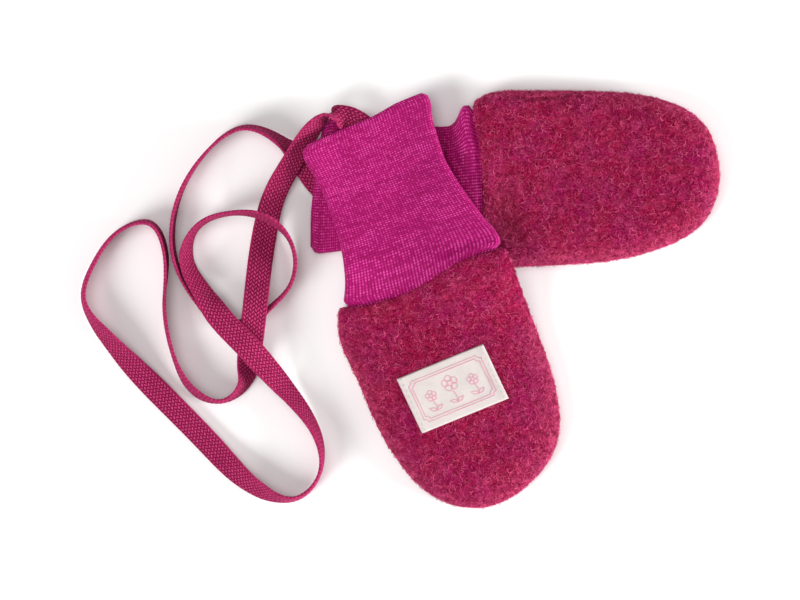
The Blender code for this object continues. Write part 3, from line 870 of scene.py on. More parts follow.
class MITTENS_OT_stage(bpy.types.Operator):
    """Sets up the camera straight above, the pale floor and the soft lights"""

    bl_idname = "mittens.stage"
    bl_label = "Stage"

    def execute(self, context):
        settings = context.scene.mittens_stage
        camera = linked("camera", bpy.data.cameras.new("camera"))
        camera.location = (*settings.aim, settings.camera_height)
        camera.data.lens = camera.data.sensor_width * settings.camera_height / settings.view_width
        camera.data.clip_end = VIEW_DEPTH
        context.scene.camera = camera
        context.scene.view_settings.view_transform = "Standard"

        corners = ((-1, -1), (1, -1), (1, 1), (-1, 1))
        points = [(x * FLOOR_REACH, y * FLOOR_REACH, -FLOOR_DROP) for x, y in corners]
        floor = mesh_object("floor", points, [(0, 1, 2, 3)])
        floor.data.materials.append(paper_material(settings))

        world = bpy.data.worlds.new("room")
        world.use_nodes = True
        background = world.node_tree.nodes["Background"]
        background.inputs["Color"].default_value = (1.0, 0.995, 0.99, 1.0)
        background.inputs["Strength"].default_value = settings.room_light
        context.scene.world = world
        for light in LIGHTS:
            soft_light(light, getattr(settings, light.name))
        return {"FINISHED"}


def paper_material(settings):
    material = bpy.data.materials.new("pale_paper")
    material.use_nodes = True
    tree = material.node_tree
    shader = tree.nodes["Principled BSDF"]
    darker = darkened(settings.floor_colour, 0.985)
    colour = blend(tree, grain(tree, own_place(tree), 40.0), settings.floor_colour, darker)
    tree.links.new(colour, shader.inputs["Base Color"])
    shader.inputs["Roughness"].default_value = 0.8
    shader.inputs["Specular IOR Level"].default_value = 0.1
    return material


def tape_line(step):
    """Rows (x, y, lift, turn in radians) every `step` millimetres along the tape's route."""
    path = natural_curve([(row.x, row.y) for row in TAPE_ROUTE], ROUTE_STEPS)
    rows = np.arange(len(TAPE_ROUTE))
    at = np.arange(len(path)) / ROUTE_STEPS
    turn = np.radians(steady_curve(rows, [row.turn for row in TAPE_ROUTE], at))
    lift = steady_curve(rows, [row.lift for row in TAPE_ROUTE], at)
    run = way_along(path)
    even = np.linspace(0.0, run[-1], int(round(run[-1] / step)) + 1)
    columns = [np.interp(even, run, values) for values in (path[:, 0], path[:, 1], lift, turn)]
    return np.stack(columns, axis=-1)


def tape_section(half_width, half_thick, strands):
    """The tape's section: each point's place across and through it, and its column of stitches."""
    flat = np.linspace(-1.0, 1.0, strands * SAMPLES_PER_STRAND + 1)
    bend = np.linspace(-pi / 2, pi / 2, TAPE_EDGE_POINTS + 2)[1:-1]
    reach = half_width - half_thick
    edge = reach + half_thick * np.cos(bend)
    rise = half_thick * np.sin(bend)
    level = np.full(len(flat), half_thick)
    side = np.concatenate([-flat * reach, -edge, flat * reach, edge])
    face = np.concatenate([level, -rise, -level, rise])
    return side, face, (side / reach + 1.0) / 2 * strands


class MITTENS_OT_tape(bpy.types.Operator):
    """Lays the flat braided tape along its route from cuff to cuff"""

    bl_idname = "mittens.tape"
    bl_label = "Joining Tape"

    def execute(self, context):
        settings = context.scene.mittens_tape
        half_width = settings.width / MM / 2
        half_thick = settings.thickness / MM / 2
        x, y, lift, turn = tape_line(settings.stitch / MM / 2).T
        rise = lift + half_width * np.abs(np.sin(turn)) + half_thick * np.abs(np.cos(turn))
        centres = np.stack([x + PAIR_SHIFT_X, y + PAIR_SHIFT_Y, rise], axis=-1)
        run = np.gradient(centres, axis=0)
        run /= np.linalg.norm(run, axis=1, keepdims=True)
        left = np.stack([-run[:, 1], run[:, 0], np.zeros(len(run))], axis=-1)
        left /= np.linalg.norm(left, axis=1, keepdims=True)
        up = np.cross(run, left)
        wide = left * np.cos(turn)[:, None] + up * np.sin(turn)[:, None]
        thick = np.cross(run, wide)

        side, face, strand = tape_section(half_width, half_thick, settings.strands)
        points = centres[:, None] + wide[:, None] * side[None, :, None]
        points = points + thick[:, None] * face[None, :, None]
        rows = len(centres)
        around = len(side)
        faces = grid_faces(rows, around, False, True).tolist()
        faces.append(list(range(around - 1, -1, -1)))
        faces.append(list(range((rows - 1) * around, rows * around)))
        tape = mesh_object("braided_tape", points * MM, faces)
        stitch = np.arange(rows) / 2.0
        per_point = np.stack(np.broadcast_arrays(strand[None, :], stitch[:, None]), axis=-1)
        loops = np.zeros(len(tape.data.loops), np.int32)
        tape.data.loops.foreach_get("vertex_index", loops)
        keep_uv(tape.data, "Braid", per_point.reshape(-1, 2)[loops])
        face_outwards(tape.data)
        sizes = {"Relief": settings.depth, "Material": braid_material(settings)}
        finish_piece(tape, grown(tape, braid_tree(settings.strands), sizes))
        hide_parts("tape")
        return {"FINISHED"}


def braid_pattern(tree, strand, stitch, strands):
    """Height of a braided face from 0 to 1, and the column and the stitch that a point is in.

    Long stitches lie side by side, and each column is half a stitch on from the last.
    """
    column = maths(tree, "FLOOR", strand)
    parity = maths(tree, "MODULO", column, 2.0)
    slant = times(tree, minus(tree, maths(tree, "FRACT", strand), 0.5), 0.5)
    moved = plus(tree, stitch, times(tree, slant, times_plus(tree, parity, 2.0, -1.0)))
    moved = times_plus(tree, parity, 0.5, moved)
    crown = maths(tree, "SINE", times(tree, off_centre(tree, strand), pi))
    crown = times_plus(tree, crown, 0.55, 0.45)
    height = times(tree, crown, times_plus(tree, wave(tree, moved), 0.75, 0.25))
    inside = maths(tree, "MINIMUM", strand, minus(tree, float(strands), strand))
    share = stretched(tree, inside, (-0.05, 0.1), (0.35, 1.0))
    height = times_plus(tree, share, minus(tree, height, BRAID_EDGE), BRAID_EDGE)
    return height, column, maths(tree, "FLOOR", plus(tree, moved, 0.5))


def braid_tree(strands):
    """Raises the stitches of the tape."""
    tree, given = geometry_tree("Braid relief", Relief="Float")
    place = split(tree, field(tree, "Braid", "FLOAT_VECTOR"))
    height = braid_pattern(tree, place[0], place[1], strands)[0]
    rise = times(tree, minus(tree, height, BRAID_MIDDLE), given["Relief"])
    return end_tree(tree, given, raised(tree, given["Geometry"], rise))


def braid_material(settings):
    material, tree = cloth_material("braided_cotton")
    place = cloth_place(tree, "Braid")
    height, column, stitch = braid_pattern(tree, place[0], place[1], settings.strands)
    fleck = stretched(tree, chance(tree, column, stitch), (0.0, 1.0), (0.75, 1.2))
    # Painted light and shade: alternate columns, whose stitches lean opposite ways, are made
    # lighter and darker.
    lean_shade = times_plus(tree, maths(tree, "MODULO", column, 2.0), 0.24, 0.88)
    fibres = stretched(tree, grain(tree, own_place(tree), 2600.0), (0.3, 0.7), (0.85, 1.1))
    tone = times(tree, fleck, times(tree, lean_shade, fibres))
    face = times(tree, stretched(tree, height, (0.2, 0.65)), tone)
    # Painted highlight on the crowns of the stitches; the shade colour is painted shade between
    # them.
    shine = times(tree, stretched(tree, height, (0.55, 0.95), (0.0, 0.6)), tone)
    colour = blend(tree, face, settings.shade, settings.colour)
    colour = blend(tree, shine, colour, settings.light)
    return coloured(material, colour, times_plus(tree, fibres, 0.3, height))


def pressed_tube(section, inset, share):
    """Points (across, height) these shares of the way round a flat tube, from under its middle."""
    right, left, bottom, top = section
    radius = (top - bottom) / 2
    middle = (top + bottom) / 2
    small = radius - inset
    centre = (left + right) / 2
    half_flat = (left - right) / 2 - radius
    bend = pi * small
    way = share * (4 * half_flat + 2 * bend)
    bent = (way - half_flat) / small
    back = way - half_flat - bend
    bent_back = (back - 2 * half_flat) / small
    beyond = back - 2 * half_flat - bend
    places = (way < half_flat, back < 0, back < 2 * half_flat, beyond < 0)
    across = (
        centre + way,
        centre + half_flat + small * np.sin(bent),
        centre + half_flat - back,
        centre - half_flat - small * np.sin(bent_back),
    )
    height = (
        middle - small,
        middle - small * np.cos(bent),
        middle + small,
        middle + small * np.cos(bent_back),
    )
    across = np.select(places, across, centre - half_flat + beyond)
    return across, np.select(places, height, middle - small)


def fold_depth(folds, along, across):
    """How deep these folds press the cloth in at each place."""
    depth = 0.0
    for fold in folds:
        away_along = (along - fold.along) / fold.reach_along
        away_across = (across - fold.across) / fold.reach_across
        depth = depth + fold.depth * np.exp(-(away_along**2 + away_across**2))
    return depth


def cuff_line(mitten, column, along):
    """One column of the cuff's table, at these places along it."""
    sections = mitten.cuff[::-1]
    values = [getattr(section, column) for section in sections]
    return steady_curve([section.along for section in sections], values, along)


def soft_edge(mitten, side, along):
    """Where a cuff's edge would be without its short bends, as the wales inside it run."""
    away = np.linspace(-2.0, 2.0, 17)
    weights = np.exp(-away * away)
    near = cuff_line(mitten, side, along + away * EDGE_SOFTNESS)
    return float((near * weights).sum() / weights.sum())


def cuff_ring(mitten, along, inset, share):
    """One ring of a cuff on the table, in metres, with its folds pressed into the upper face."""
    right, left, bottom, top = [
        cuff_line(mitten, column, along) for column in ("right", "left", "bottom", "top")
    ]
    swing = mitten.fan * smoothstep(1.0 + along / FAN_REACH) / (2 * pi)
    share = share + swing * np.sin(2 * pi * (share - 0.25))
    soft_right = soft_edge(mitten, "right", along)
    soft_left = soft_edge(mitten, "left", along)
    across, height = pressed_tube((soft_right, soft_left, bottom, top), inset, share % 1.0)
    pull_right = smoothstep((soft_right + EDGE_PULL - across) / EDGE_PULL)
    pull_left = smoothstep((across - soft_left + EDGE_PULL) / EDGE_PULL)
    across = across + pull_right * (right - soft_right) + pull_left * (left - soft_left)
    middle = (bottom + top) / 2
    upper = smoothstep((height - middle) / (top - inset - middle))
    out_of_bag = smoothstep((-along - FOLDS_FROM) / FOLDS_FADE)
    height = height - fold_depth(mitten.folds, along, across) * upper * out_of_bag
    puff = SEAM_PUFF * np.exp(-(((along + SEAM_PUFF_AT) / SEAM_PUFF_REACH) ** 2))
    height = height + puff * upper
    mouth = smoothstep((-along - CUFF_MOUTH_START) / CUFF_MOUTH_REACH)
    shift = smoothstep(1.0 + along / CUFF_LIP_REACH) * end_shift(mitten.lip, across)
    shift = shift + mouth * end_shift(mitten.mouth, across)
    waves = [
        noise.noise(Vector((along / SOFT_WAVE_LENGTH, side / SOFT_WAVE_LENGTH, mitten.heading)))
        for side in across
    ]
    height = height + SOFT_WAVE * np.array(waves) * upper * out_of_bag
    return placed(mitten, along + shift, across, height)


class MITTENS_OT_cuffs(bpy.types.Operator):
    """Knits the two ribbed cuffs, tubes that are pressed flat and folded smooth at the mouth"""

    bl_idname = "mittens.cuffs"
    bl_label = "Ribbed Cuffs"

    def execute(self, context):
        settings = context.scene.mittens_cuffs
        material = rib_material(settings)
        tree = rib_tree()
        for mitten in (BACK, FRONT):
            cuff = knitted(mitten, settings.wales, settings.course / MM)
            sizes = {"Relief": settings.depth, "Material": material}
            finish_piece(cuff, grown(cuff, tree, sizes))
            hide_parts(mitten.name + "_cuff")
        return {"FINISHED"}


def cuff_profile(start, end, outer_rows):
    """Rows (along, inset) down the outside of a cuff, round its lip and back up the inside."""
    half_wall = RIB_WALL / 2
    outer = [(start + (end - start) * way, 0.0) for way in np.linspace(0.0, 1.0, outer_rows)]
    lip = [
        (end - half_wall * sin(angle), half_wall * (1.0 - cos(angle)))
        for angle in np.linspace(0.0, pi, LIP_ROWS + 2)[1:-1]
    ]
    inner = [(end + (start - end) * way, RIB_WALL) for way in np.linspace(0.0, 1.0, INNER_ROWS)]
    return outer + lip + inner


def knitted(mitten, wales, course):
    """A cuff that keeps a map of its wales and courses, its outside, and where it is fluted."""
    count = wales * SAMPLES_PER_WALE
    share = np.arange(count) / count
    start = mitten.cuff[0].along
    end = mitten.cuff[-1].along
    outer_rows = int((start - end) / course * SAMPLES_PER_COURSE)
    profile = cuff_profile(start, end, outer_rows)
    turn = radians(mitten.heading)
    heading = np.array([cos(turn), sin(turn), 0.0])
    rings = []
    for along, inset in profile:
        ring = cuff_ring(mitten, max(along, end), inset, share)
        beyond = min(along - end, 0.0) * MM
        rings.append(ring + heading * beyond)
    row = (start - np.array([along for along, inset in profile])) / course
    mouth = row[outer_rows - 1]
    row[outer_rows + LIP_ROWS :] = mouth + (mouth - row[outer_rows + LIP_ROWS :])
    corners = grid_faces(len(rings), count, True, True)
    cuff = mesh_object(mitten.name + "_ribbed_cuff", np.array(rings), corners.tolist())
    wale = corners % count / SAMPLES_PER_WALE
    wale[:, 1:3] += np.where(wale[:, 1:3] < wale[:, 0:1], wales, 0.0)
    keep_uv(cuff.data, "Knit", np.stack([wale, row[corners // count]], axis=-1))
    outside = np.arange(len(rings)) <= outer_rows
    keep_field(cuff.data, "outside", np.repeat(outside, count))
    along = start - row * course
    near_seam = smoothstep((along + FLUTES_REACH) / FLUTES_FADE)
    near_mouth = smoothstep((end - along) / MOUTH_FLUTES_REACH + 1.0)
    keep_field(cuff.data, "fluted", np.repeat(np.maximum(near_seam, near_mouth), count))
    face_outwards(cuff.data)
    return cuff


def lowered(tree, depth, crest):
    """1 where a wave from 0 to 1 has its crest, and less by this depth in its trough."""
    return minus(tree, 1.0, times(tree, depth, minus(tree, 1.0, crest)))


def knit_pattern(tree, place, fluted):
    """Height of the knit from 0 to 1, and the wale and the course that a point is in.

    There is a rib at each wale, made of stitches like small Vs, one to a course. Where the knit is
    fluted its ribs stand out more than its stitches.
    """
    wale, course = place[:2]
    lean = times_plus(tree, off_centre(tree, wale), 0.5, course)
    ribs = lowered(tree, times_plus(tree, fluted, 0.15, 0.55), wave(tree, wale))
    stitches = lowered(tree, times_plus(tree, fluted, -0.2, 0.55), wave(tree, lean))
    number = maths(tree, "FLOOR", plus(tree, lean, 0.5))
    return times(tree, ribs, stitches), maths(tree, "ROUND", wale), number


def rib_tree():
    """Raises the knit on the outside of a cuff."""
    tree, given = geometry_tree("Rib relief", Relief="Float")
    place = split(tree, field(tree, "Knit", "FLOAT_VECTOR"))
    height = knit_pattern(tree, place, field(tree, "fluted"))[0]
    rise = times(tree, minus(tree, height, KNIT_MIDDLE), given["Relief"])
    rise = times(tree, rise, field(tree, "outside"))
    return end_tree(tree, given, raised(tree, given["Geometry"], rise))


def rib_material(settings):
    material, tree = cloth_material("fine_rib")
    place = cloth_place(tree, "Knit")
    fluted = add(tree, "ShaderNodeAttribute", attribute_name="fluted").outputs["Fac"]
    height, wale, course = knit_pattern(tree, place, fluted)
    fleck = stretched(tree, chance(tree, wale, course), (0.0, 1.0), (0.66, 1.2))
    drawn = joined(tree, times(tree, place[0], 0.07), times(tree, place[1], 0.5))
    streak = stretched(tree, grain(tree, drawn, 1.0), (0.3, 0.7), (0.74, 1.2))
    cloud = stretched(tree, grain(tree, own_place(tree), 70.0, 3.0), (0.3, 0.7), (0.9, 1.1))
    tone = times(tree, fleck, times(tree, streak, cloud))
    face = times(tree, stretched(tree, height, (0.1, 0.75)), tone)
    # Painted sheen on the crowns of the stitches; the shade colour is painted shade between the
    # ribs.
    crown = stretched(tree, height, (0.6, 0.95), (0.0, 0.55))
    shine = times(tree, crown, stretched(tree, tone, (0.75, 1.25)))
    colour = blend(tree, face, settings.shade, settings.colour)
    return coloured(material, blend(tree, shine, colour, settings.light), height)


def quarter_round(value):
    """Height of a quarter circle this share of its radius in from its edge, and 1 after that."""
    inside = 1.0 - np.clip(value, 0.0, 1.0)
    return np.sqrt(1.0 - inside * inside)


def upper_heights(mitten, along, across, inset):
    """Heights of the upper panel's outer and inner faces, this far in from its edge."""
    right_roll, left_roll = mitten.rolls
    full = right_roll + (left_roll - right_roll) * smoothstep(0.5 + across / ROLL_BLEND_WIDTH)
    roll = LIP_ROLL + (full - LIP_ROLL) * smoothstep((along - ROLL_GROWTH_FROM) / ROLL_GROWTH)
    round_over = quarter_round(inset / roll)
    dip = fold_depth(mitten.hollows, along, across) * round_over
    outer = UPPER_EDGE_HEIGHT + (BAG_HEIGHT - UPPER_EDGE_HEIGHT) * round_over - dip
    outer = outer - LIP_TAPER * (1.0 - quarter_round(along / LIP_TAPER_LENGTH)) * round_over
    rim_height = FLEECE_WALL + PIECE_GAP
    rim = rim_height + (UPPER_EDGE_HEIGHT - rim_height) * (1.0 - quarter_round(inset / SEAM_ROLL))
    room = BAG_HEIGHT - FLEECE_WALL - rim_height - dip * smoothstep(along / ROLL_GROWTH_FROM - 1.0)
    return outer, rim + room * quarter_round((inset - SIDE_WALL) / (roll - SIDE_WALL))


def lower_heights(mitten, along, across, inset):
    """Heights of the lower panel's upper and lower faces, which depend on `inset` alone."""
    rise = FLEECE_WALL - LOWER_EDGE_HEIGHT
    upper = LOWER_EDGE_HEIGHT + rise * quarter_round(inset / SEAM_ROLL)
    return upper, LOWER_EDGE_HEIGHT * (1.0 - quarter_round(inset / LOWER_ROLL))


def panel_places(mitten):
    """Places (along, across) on a panel, in lines from edge to spine, and how far in each is."""
    outline = natural_curve(mitten.body, OUTLINE_STEPS)
    run = way_along(outline)
    ends = [
        np.interp(0.0, outline[:OUTLINE_STEPS, 0], run[:OUTLINE_STEPS]),
        np.interp(0.0, outline[: -OUTLINE_STEPS : -1, 0], run[: -OUTLINE_STEPS : -1]),
    ]
    even = np.linspace(*ends, int((ends[1] - ends[0]) / PANEL_STEP))
    edge = np.stack([np.interp(even, run, outline[:, axis]) for axis in (0, 1)], axis=-1)
    middle = float(np.mean(outline[[0, -1], 1]))
    spine = np.stack([np.minimum(edge[:, 0], TIP_CENTRE), np.full(len(edge), middle)], axis=-1)
    width = np.linalg.norm(edge - spine, axis=1)[:, None]
    inset = np.concatenate([np.tile(PANEL_INSETS, (len(edge), 1)), width - PILE_REACH], axis=1)
    share = np.minimum((inset + PILE_REACH) / width, 1.0)
    place = edge[:, None] + (spine - edge)[:, None] * share[..., None]
    return place[..., 0], place[..., 1], inset


def panel_shell(mitten, name, heights):
    """A fleece panel: its two faces, which meet at the edge and are closed across the lip."""
    along, across, inset = panel_places(mitten)
    shifted = along + end_shift(mitten.lip, across) * (1.0 - smoothstep(along / LIP_CURVE_LENGTH))
    levels = heights(mitten, along, across, inset)
    points = np.stack([placed(mitten, shifted, across, level) for level in levels])
    columns, rings = along.shape
    faces = grid_faces(columns, rings, False, False)
    under = columns * rings
    strips = []
    for first in (0, under - rings):
        here = first + np.arange(rings - 1)
        strips.append(np.stack([here, here + 1, under + here + 1, under + here], axis=-1))
    faces = np.concatenate([faces, faces[:, ::-1] + under, *strips])
    shell = mesh_object(name, points, faces.tolist())
    face_outwards(shell.data, PIECE_GAP / 4 * MM)
    return shell


def evened(shell):
    """The same shell with an even mesh and soft edges."""
    remesh = shell.modifiers.new("even mesh", "REMESH")
    remesh.mode = "VOXEL"
    remesh.voxel_size = PANEL_VOXEL * MM
    smooth = shell.modifiers.new("soft edges", "SMOOTH")
    smooth.factor = 0.5
    smooth.iterations = PANEL_SMOOTHING
    graph = bpy.context.evaluated_depsgraph_get()
    mesh = bpy.data.meshes.new_from_object(shell.evaluated_get(graph))
    shell.modifiers.clear()
    shell.data = mesh
    return mesh


def read_points(mesh, source, name):
    values = np.zeros(len(mesh.vertices) * 3, np.float32)
    source.foreach_get(name, values)
    return values.reshape(-1, 3).astype(float)


def own_frame(mitten, points):
    """Places in the mitten's own frame, in millimetres, of points on the table."""
    x = points[:, 0] / MM - PAIR_SHIFT_X - mitten.seam_x
    y = points[:, 1] / MM - PAIR_SHIFT_Y - mitten.seam_y
    return turned_back(x, y, mitten.heading)


def turned_back(x, y, bearing):
    """How far a run on the table goes along and across a frame turned by this many degrees."""
    turn = radians(bearing)
    return x * cos(turn) + y * sin(turn), y * cos(turn) - x * sin(turn)


def distance_to_path(along, across, path):
    """How far each place is from a line that runs through the points of a path."""
    nearest = np.full(len(along), np.inf)
    for (from_along, from_across), (to_along, to_across) in zip(path, path[1:]):
        run = np.array([to_along - from_along, to_across - from_across])
        away = np.stack([along - from_along, across - from_across], axis=-1)
        share = np.clip(away @ run / (run @ run), 0.0, 1.0)
        nearest = np.minimum(nearest, np.linalg.norm(away - share[:, None] * run, axis=1))
    return nearest


def under_label(along, across):
    """1 where the label covers this place, and 0 outside it."""
    down, side = turned_back(along - LABEL_ALONG, across - LABEL_ACROSS, LABEL_TURN)
    inside = np.minimum(LABEL_LENGTH / 2 - np.abs(down), LABEL_WIDTH / 2 - np.abs(side))
    return smoothstep(inside / LABEL_FADE + 0.5)


class MITTENS_OT_bags(bpy.types.Operator):
    """Felts the four fleece panels of the bags, and raises their curled pile"""

    bl_idname = "mittens.bags"
    bl_label = "Fleece Bags"

    def execute(self, context):
        settings = context.scene.mittens_fleece
        wool = wool_material(settings)
        locks = lock_material(settings)
        lump_maker = lump_tree()
        pile_maker = pile_tree()
        sides = (("bottom", lower_heights), ("top", upper_heights))
        for mitten in (BACK, FRONT):
            for (side, heights), seed in zip(sides, mitten.pile_seeds):
                panel = panel_shell(mitten, f"{mitten.name}_fleece_{side}", heights)
                press_grooves(mitten, evened(panel), side)
                mesh = grown(panel, lump_maker, {"Lumps": settings.lumps, "Material": wool})
                mesh.shade_smooth()
                panel.data = mesh
                sizes = {
                    "Gap": settings.curl_gap,
                    "Size": settings.curl_size,
                    "Thickness": settings.curl_thickness,
                    "Seed": seed,
                    "Material": locks,
                }
                pile = linked(f"{mitten.name}_pile_{side}", mesh)
                finish_piece(pile, grown(pile, pile_maker, sizes))
                finish_piece(panel, mesh)
                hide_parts(f"{mitten.name}_{side}_panel")
        return {"FINISHED"}


def press_grooves(mitten, mesh, side):
    """Presses the long creases into an upper panel, and keeps where a panel shows its pile."""
    points = read_points(mesh, mesh.vertices, "co")
    normals = read_points(mesh, mesh.vertex_normals, "vector")
    along, across = own_frame(mitten, points)
    up = normals[:, 2]
    out = np.stack([np.maximum(along - TIP_CENTRE, 0.0), across], axis=-1)
    out /= np.linalg.norm(out, axis=1, keepdims=True) + 1e-6
    run_along, run_across = turned_back(normals[:, 0], normals[:, 1], mitten.heading)
    outward = np.maximum(run_along * out[:, 0] + run_across * out[:, 1], -run_along)
    if side == "top":
        shown = smoothstep((up * SHOWN_UP + outward * SHOWN_OUT - SHOWN_FROM) / SHOWN_FADE)
        for groove in mitten.grooves:
            away = distance_to_path(along, across, groove.path) / groove.width
            points[:, 2] -= groove.depth * MM * np.exp(-away * away) * smoothstep(up * 3.0)
        if mitten.lifted:
            shown = shown * (1.0 - under_label(along, across))
    else:
        shown = smoothstep((outward - RIM_OUT_FROM) / RIM_OUT_FADE)
        shown = shown * smoothstep((RIM_UP_TO - up) / RIM_UP_FADE)
    mesh.vertices.foreach_set("co", points.astype(np.float32).ravel())
    keep_field(mesh, "shown", shown)


def lump_tree():
    """Felts a panel: soft lumps where it shows."""
    tree, given = geometry_tree("Felted lumps", Lumps="Float")
    where = result_of(tree, "GeometryNodeInputPosition")
    broad = minus(tree, grain(tree, where, 190.0), 0.5)
    fine = minus(tree, grain(tree, where, 620.0, 1.0), 0.5)
    height = minus(tree, times_plus(tree, fine, 0.7, broad), LUMP_MIDDLE)
    height = times(tree, times(tree, height, given["Lumps"]), field(tree, "shown"))
    return end_tree(tree, given, above_table(tree, raised(tree, given["Geometry"], height)))


def above_table(tree, geometry):
    """Keeps every point of a geometry just above the table."""
    place = split(tree, result_of(tree, "GeometryNodeInputPosition"))
    height = maths(tree, "MAXIMUM", place[2], LEAST_HEIGHT * MM)
    inputs = {"Geometry": geometry, "Position": joined(tree, place[0], place[1], height)}
    return result_of(tree, "GeometryNodeSetPosition", inputs)


def pile_tree():
    """Curled locks of wool over the part of a panel that shows."""
    sizes = dict.fromkeys(("Gap", "Size", "Thickness"), "Float")
    tree, given = geometry_tree("Curled pile", **sizes, Seed="Int")
    roots = {
        "Mesh": given["Geometry"],
        "Distance Min": given["Gap"],
        "Density Max": MOST_LOCKS,
        "Density Factor": field(tree, "shown"),
        "Seed": given["Seed"],
    }
    roots = add(tree, "GeometryNodeDistributePointsOnFaces", roots, distribute_method="POISSON")
    roots = roots.outputs
    most = (LOCK_TILT, LOCK_TILT, 2 * pi)
    tilt = random_value(tree, "FLOAT_VECTOR", (-LOCK_TILT, -LOCK_TILT, 0.0), most, TILT_SEED)
    turn = {0: roots["Rotation"], 1: result_of(tree, "FunctionNodeEulerToRotation", {0: tilt})}
    size = random_value(tree, "FLOAT", *LOCK_SIZES, SIZE_SEED)
    locks = {
        "Points": roots["Points"],
        "Instance": lock_shapes(tree, maths(tree, "DIVIDE", given["Thickness"], given["Size"])),
        "Pick Instance": True,
        "Instance Index": random_value(tree, "INT", 0, LOCK_SHAPES - 1, SHAPE_SEED),
        "Rotation": result_of(tree, "FunctionNodeRotateRotation", turn, rotation_space="LOCAL"),
        "Scale": times(tree, size, given["Size"]),
    }
    tinted = {
        "Geometry": result_of(tree, "GeometryNodeInstanceOnPoints", locks),
        "Name": "tint",
        "Value": random_value(tree, "FLOAT", 0.0, 1.0, TINT_SEED),
    }
    kept = {"data_type": "FLOAT", "domain": "INSTANCE"}
    tinted = result_of(tree, "GeometryNodeStoreNamedAttribute", tinted, **kept)
    real = result_of(tree, "GeometryNodeRealizeInstances", {0: tinted})
    return end_tree(tree, given, above_table(tree, real))


def lock_shapes(tree, thickness):
    """The shapes of the locks, as instances: tubes of three sides along curves."""
    section = {"Resolution": 3, "Radius": 0.5}
    section = result_of(tree, "GeometryNodeCurvePrimitiveCircle", section, mode="RADIUS")
    section = {"Geometry": section, "Scale": joined(tree, thickness, thickness, 1.0)}
    section = result_of(tree, "GeometryNodeTransform", section)
    shapes = add(tree, "GeometryNodeJoinGeometry")
    for curve in curl_shapes(tree):
        tube = {"Curve": curve, "Profile Curve": section, "Fill Caps": True}
        tube = result_of(tree, "GeometryNodeCurveToMesh", tube)
        held = result_of(tree, "GeometryNodeGeometryToInstance", {0: tube})
        tree.links.new(held, shapes.inputs[0])
    return shapes.outputs[0]


def curl_shapes(tree):
    """The curves of the locks, of about unit size: an open ring, a hook, a wave and a bow."""
    for ring in RINGS:
        inputs = {
            "Resolution": 6,
            "Rotations": ring.turns,
            "Start Radius": ring.start,
            "End Radius": ring.end,
            "Height": ring.height,
        }
        yield result_of(tree, "GeometryNodeCurveSpiral", inputs)
    for wavy in WAVES:
        inputs = {
            "Resolution": 4,
            "Start": wavy.start,
            "Start Handle": wavy.first,
            "End Handle": wavy.second,
            "End": wavy.end,
        }
        yield result_of(tree, "GeometryNodeCurvePrimitiveBezierSegment", inputs)


def wool_patches(tree, where, settings):
    """The mottled colour of the wool, with a painted sheen that makes it paler low down at its
    edges.
    """
    patches = stretched(tree, grain(tree, where, 75.0, 3.0, 0.6), (0.4, 0.62))
    colour = blend(tree, patches, settings.colour, settings.magenta)
    pale = stretched(tree, grain(tree, where, 190.0, 3.0, 0.7), (0.46, 0.68), (0.0, 0.22))
    # Painted sheen: the colour is blended towards the light one where the wool lies low at its
    # edges.
    rim_sheen = stretched(tree, split(tree, where)[2], PAINTED_SHEEN_HEIGHTS, (RIM_PAINTED_SHEEN, 0.0))
    return blend(tree, plus(tree, pale, rim_sheen), colour, settings.light)


def wool_material(settings):
    material, tree = cloth_material("wool_fleece")
    where = own_place(tree)
    curls = times(tree, grain(tree, where, 900.0, 2.0, 0.6), 4.0)
    threads = minus(tree, 1.0, stretched(tree, off_centre(tree, curls), (0.0, 0.35)))
    lumps = stretched(tree, grain(tree, where, 420.0), (0.35, 0.65))
    # Painted shade: the wool is darker where its relief is low, between the threads and lumps.
    share = times_plus(tree, threads, 0.45, times(tree, lumps, 0.6))
    colour = blend(tree, share, settings.shade_and_dark_lock_colour, wool_patches(tree, where, settings))
    # Painted highlight on the crowns of the threads.
    crown_highlight = times(tree, maths(tree, "POWER", threads, 3.0), 0.35)
    return coloured(material, blend(tree, crown_highlight, colour, settings.light), share)


def lock_material(settings):
    material, tree = cloth_material("wool_locks")
    where = own_place(tree)
    tint = add(tree, "ShaderNodeAttribute", attribute_name="tint").outputs["Fac"]
    dark = stretched(tree, tint, (0.0, 0.5))
    colour = blend(tree, dark, settings.shade_and_dark_lock_colour, wool_patches(tree, where, settings))
    colour = blend(tree, stretched(tree, tint, (0.55, 1.0)), colour, settings.light)
    return coloured(material, colour, grain(tree, where, 6000.0))


def on_label(down, side):
    """The place in the mitten's own frame of a place on the label, measured from its middle."""
    turn = radians(LABEL_TURN)
    lean = radians(LABEL_LEAN)
    along = LABEL_ALONG + down * cos(lean) - side * sin(turn)
    return along, LABEL_ACROSS + down * sin(lean) + side * cos(turn)


def label_height(down, side):
    """How high the label's face is above the fleece: uneven, and more at its folded ends."""
    ends = smoothstep((np.abs(side) - LABEL_WIDTH / 2 + LABEL_FOLD) / LABEL_FOLD_FADE + 0.5)
    length, start = LABEL_UNEVEN_SIDE
    uneven = LABEL_UNEVEN * np.sin(side / length + start)
    length, start = LABEL_UNEVEN_DOWN
    uneven = uneven * np.sin(down / length + start)
    corners = (np.abs(side) / LABEL_WIDTH * 2) ** 6 * (np.abs(down) / LABEL_LENGTH * 2) ** 4
    return LABEL_WALL + LABEL_FOLD_RISE * ends + uneven + LABEL_CORNER_RISE * corners


def laid(surface, down, side, above):
    """Points, in metres, this far above the fleece under the label."""
    along, across = on_label(np.asarray(down, float), np.asarray(side, float))
    points = placed(FRONT, along, across, np.full(along.shape, WELL_ABOVE)).reshape(-1, 3)
    downwards = Vector((0.0, 0.0, -1.0))
    hits = np.array([surface.ray_cast(Vector(point), downwards)[0] for point in points])
    hits[:, 2] += np.ravel(above) * MM
    return hits


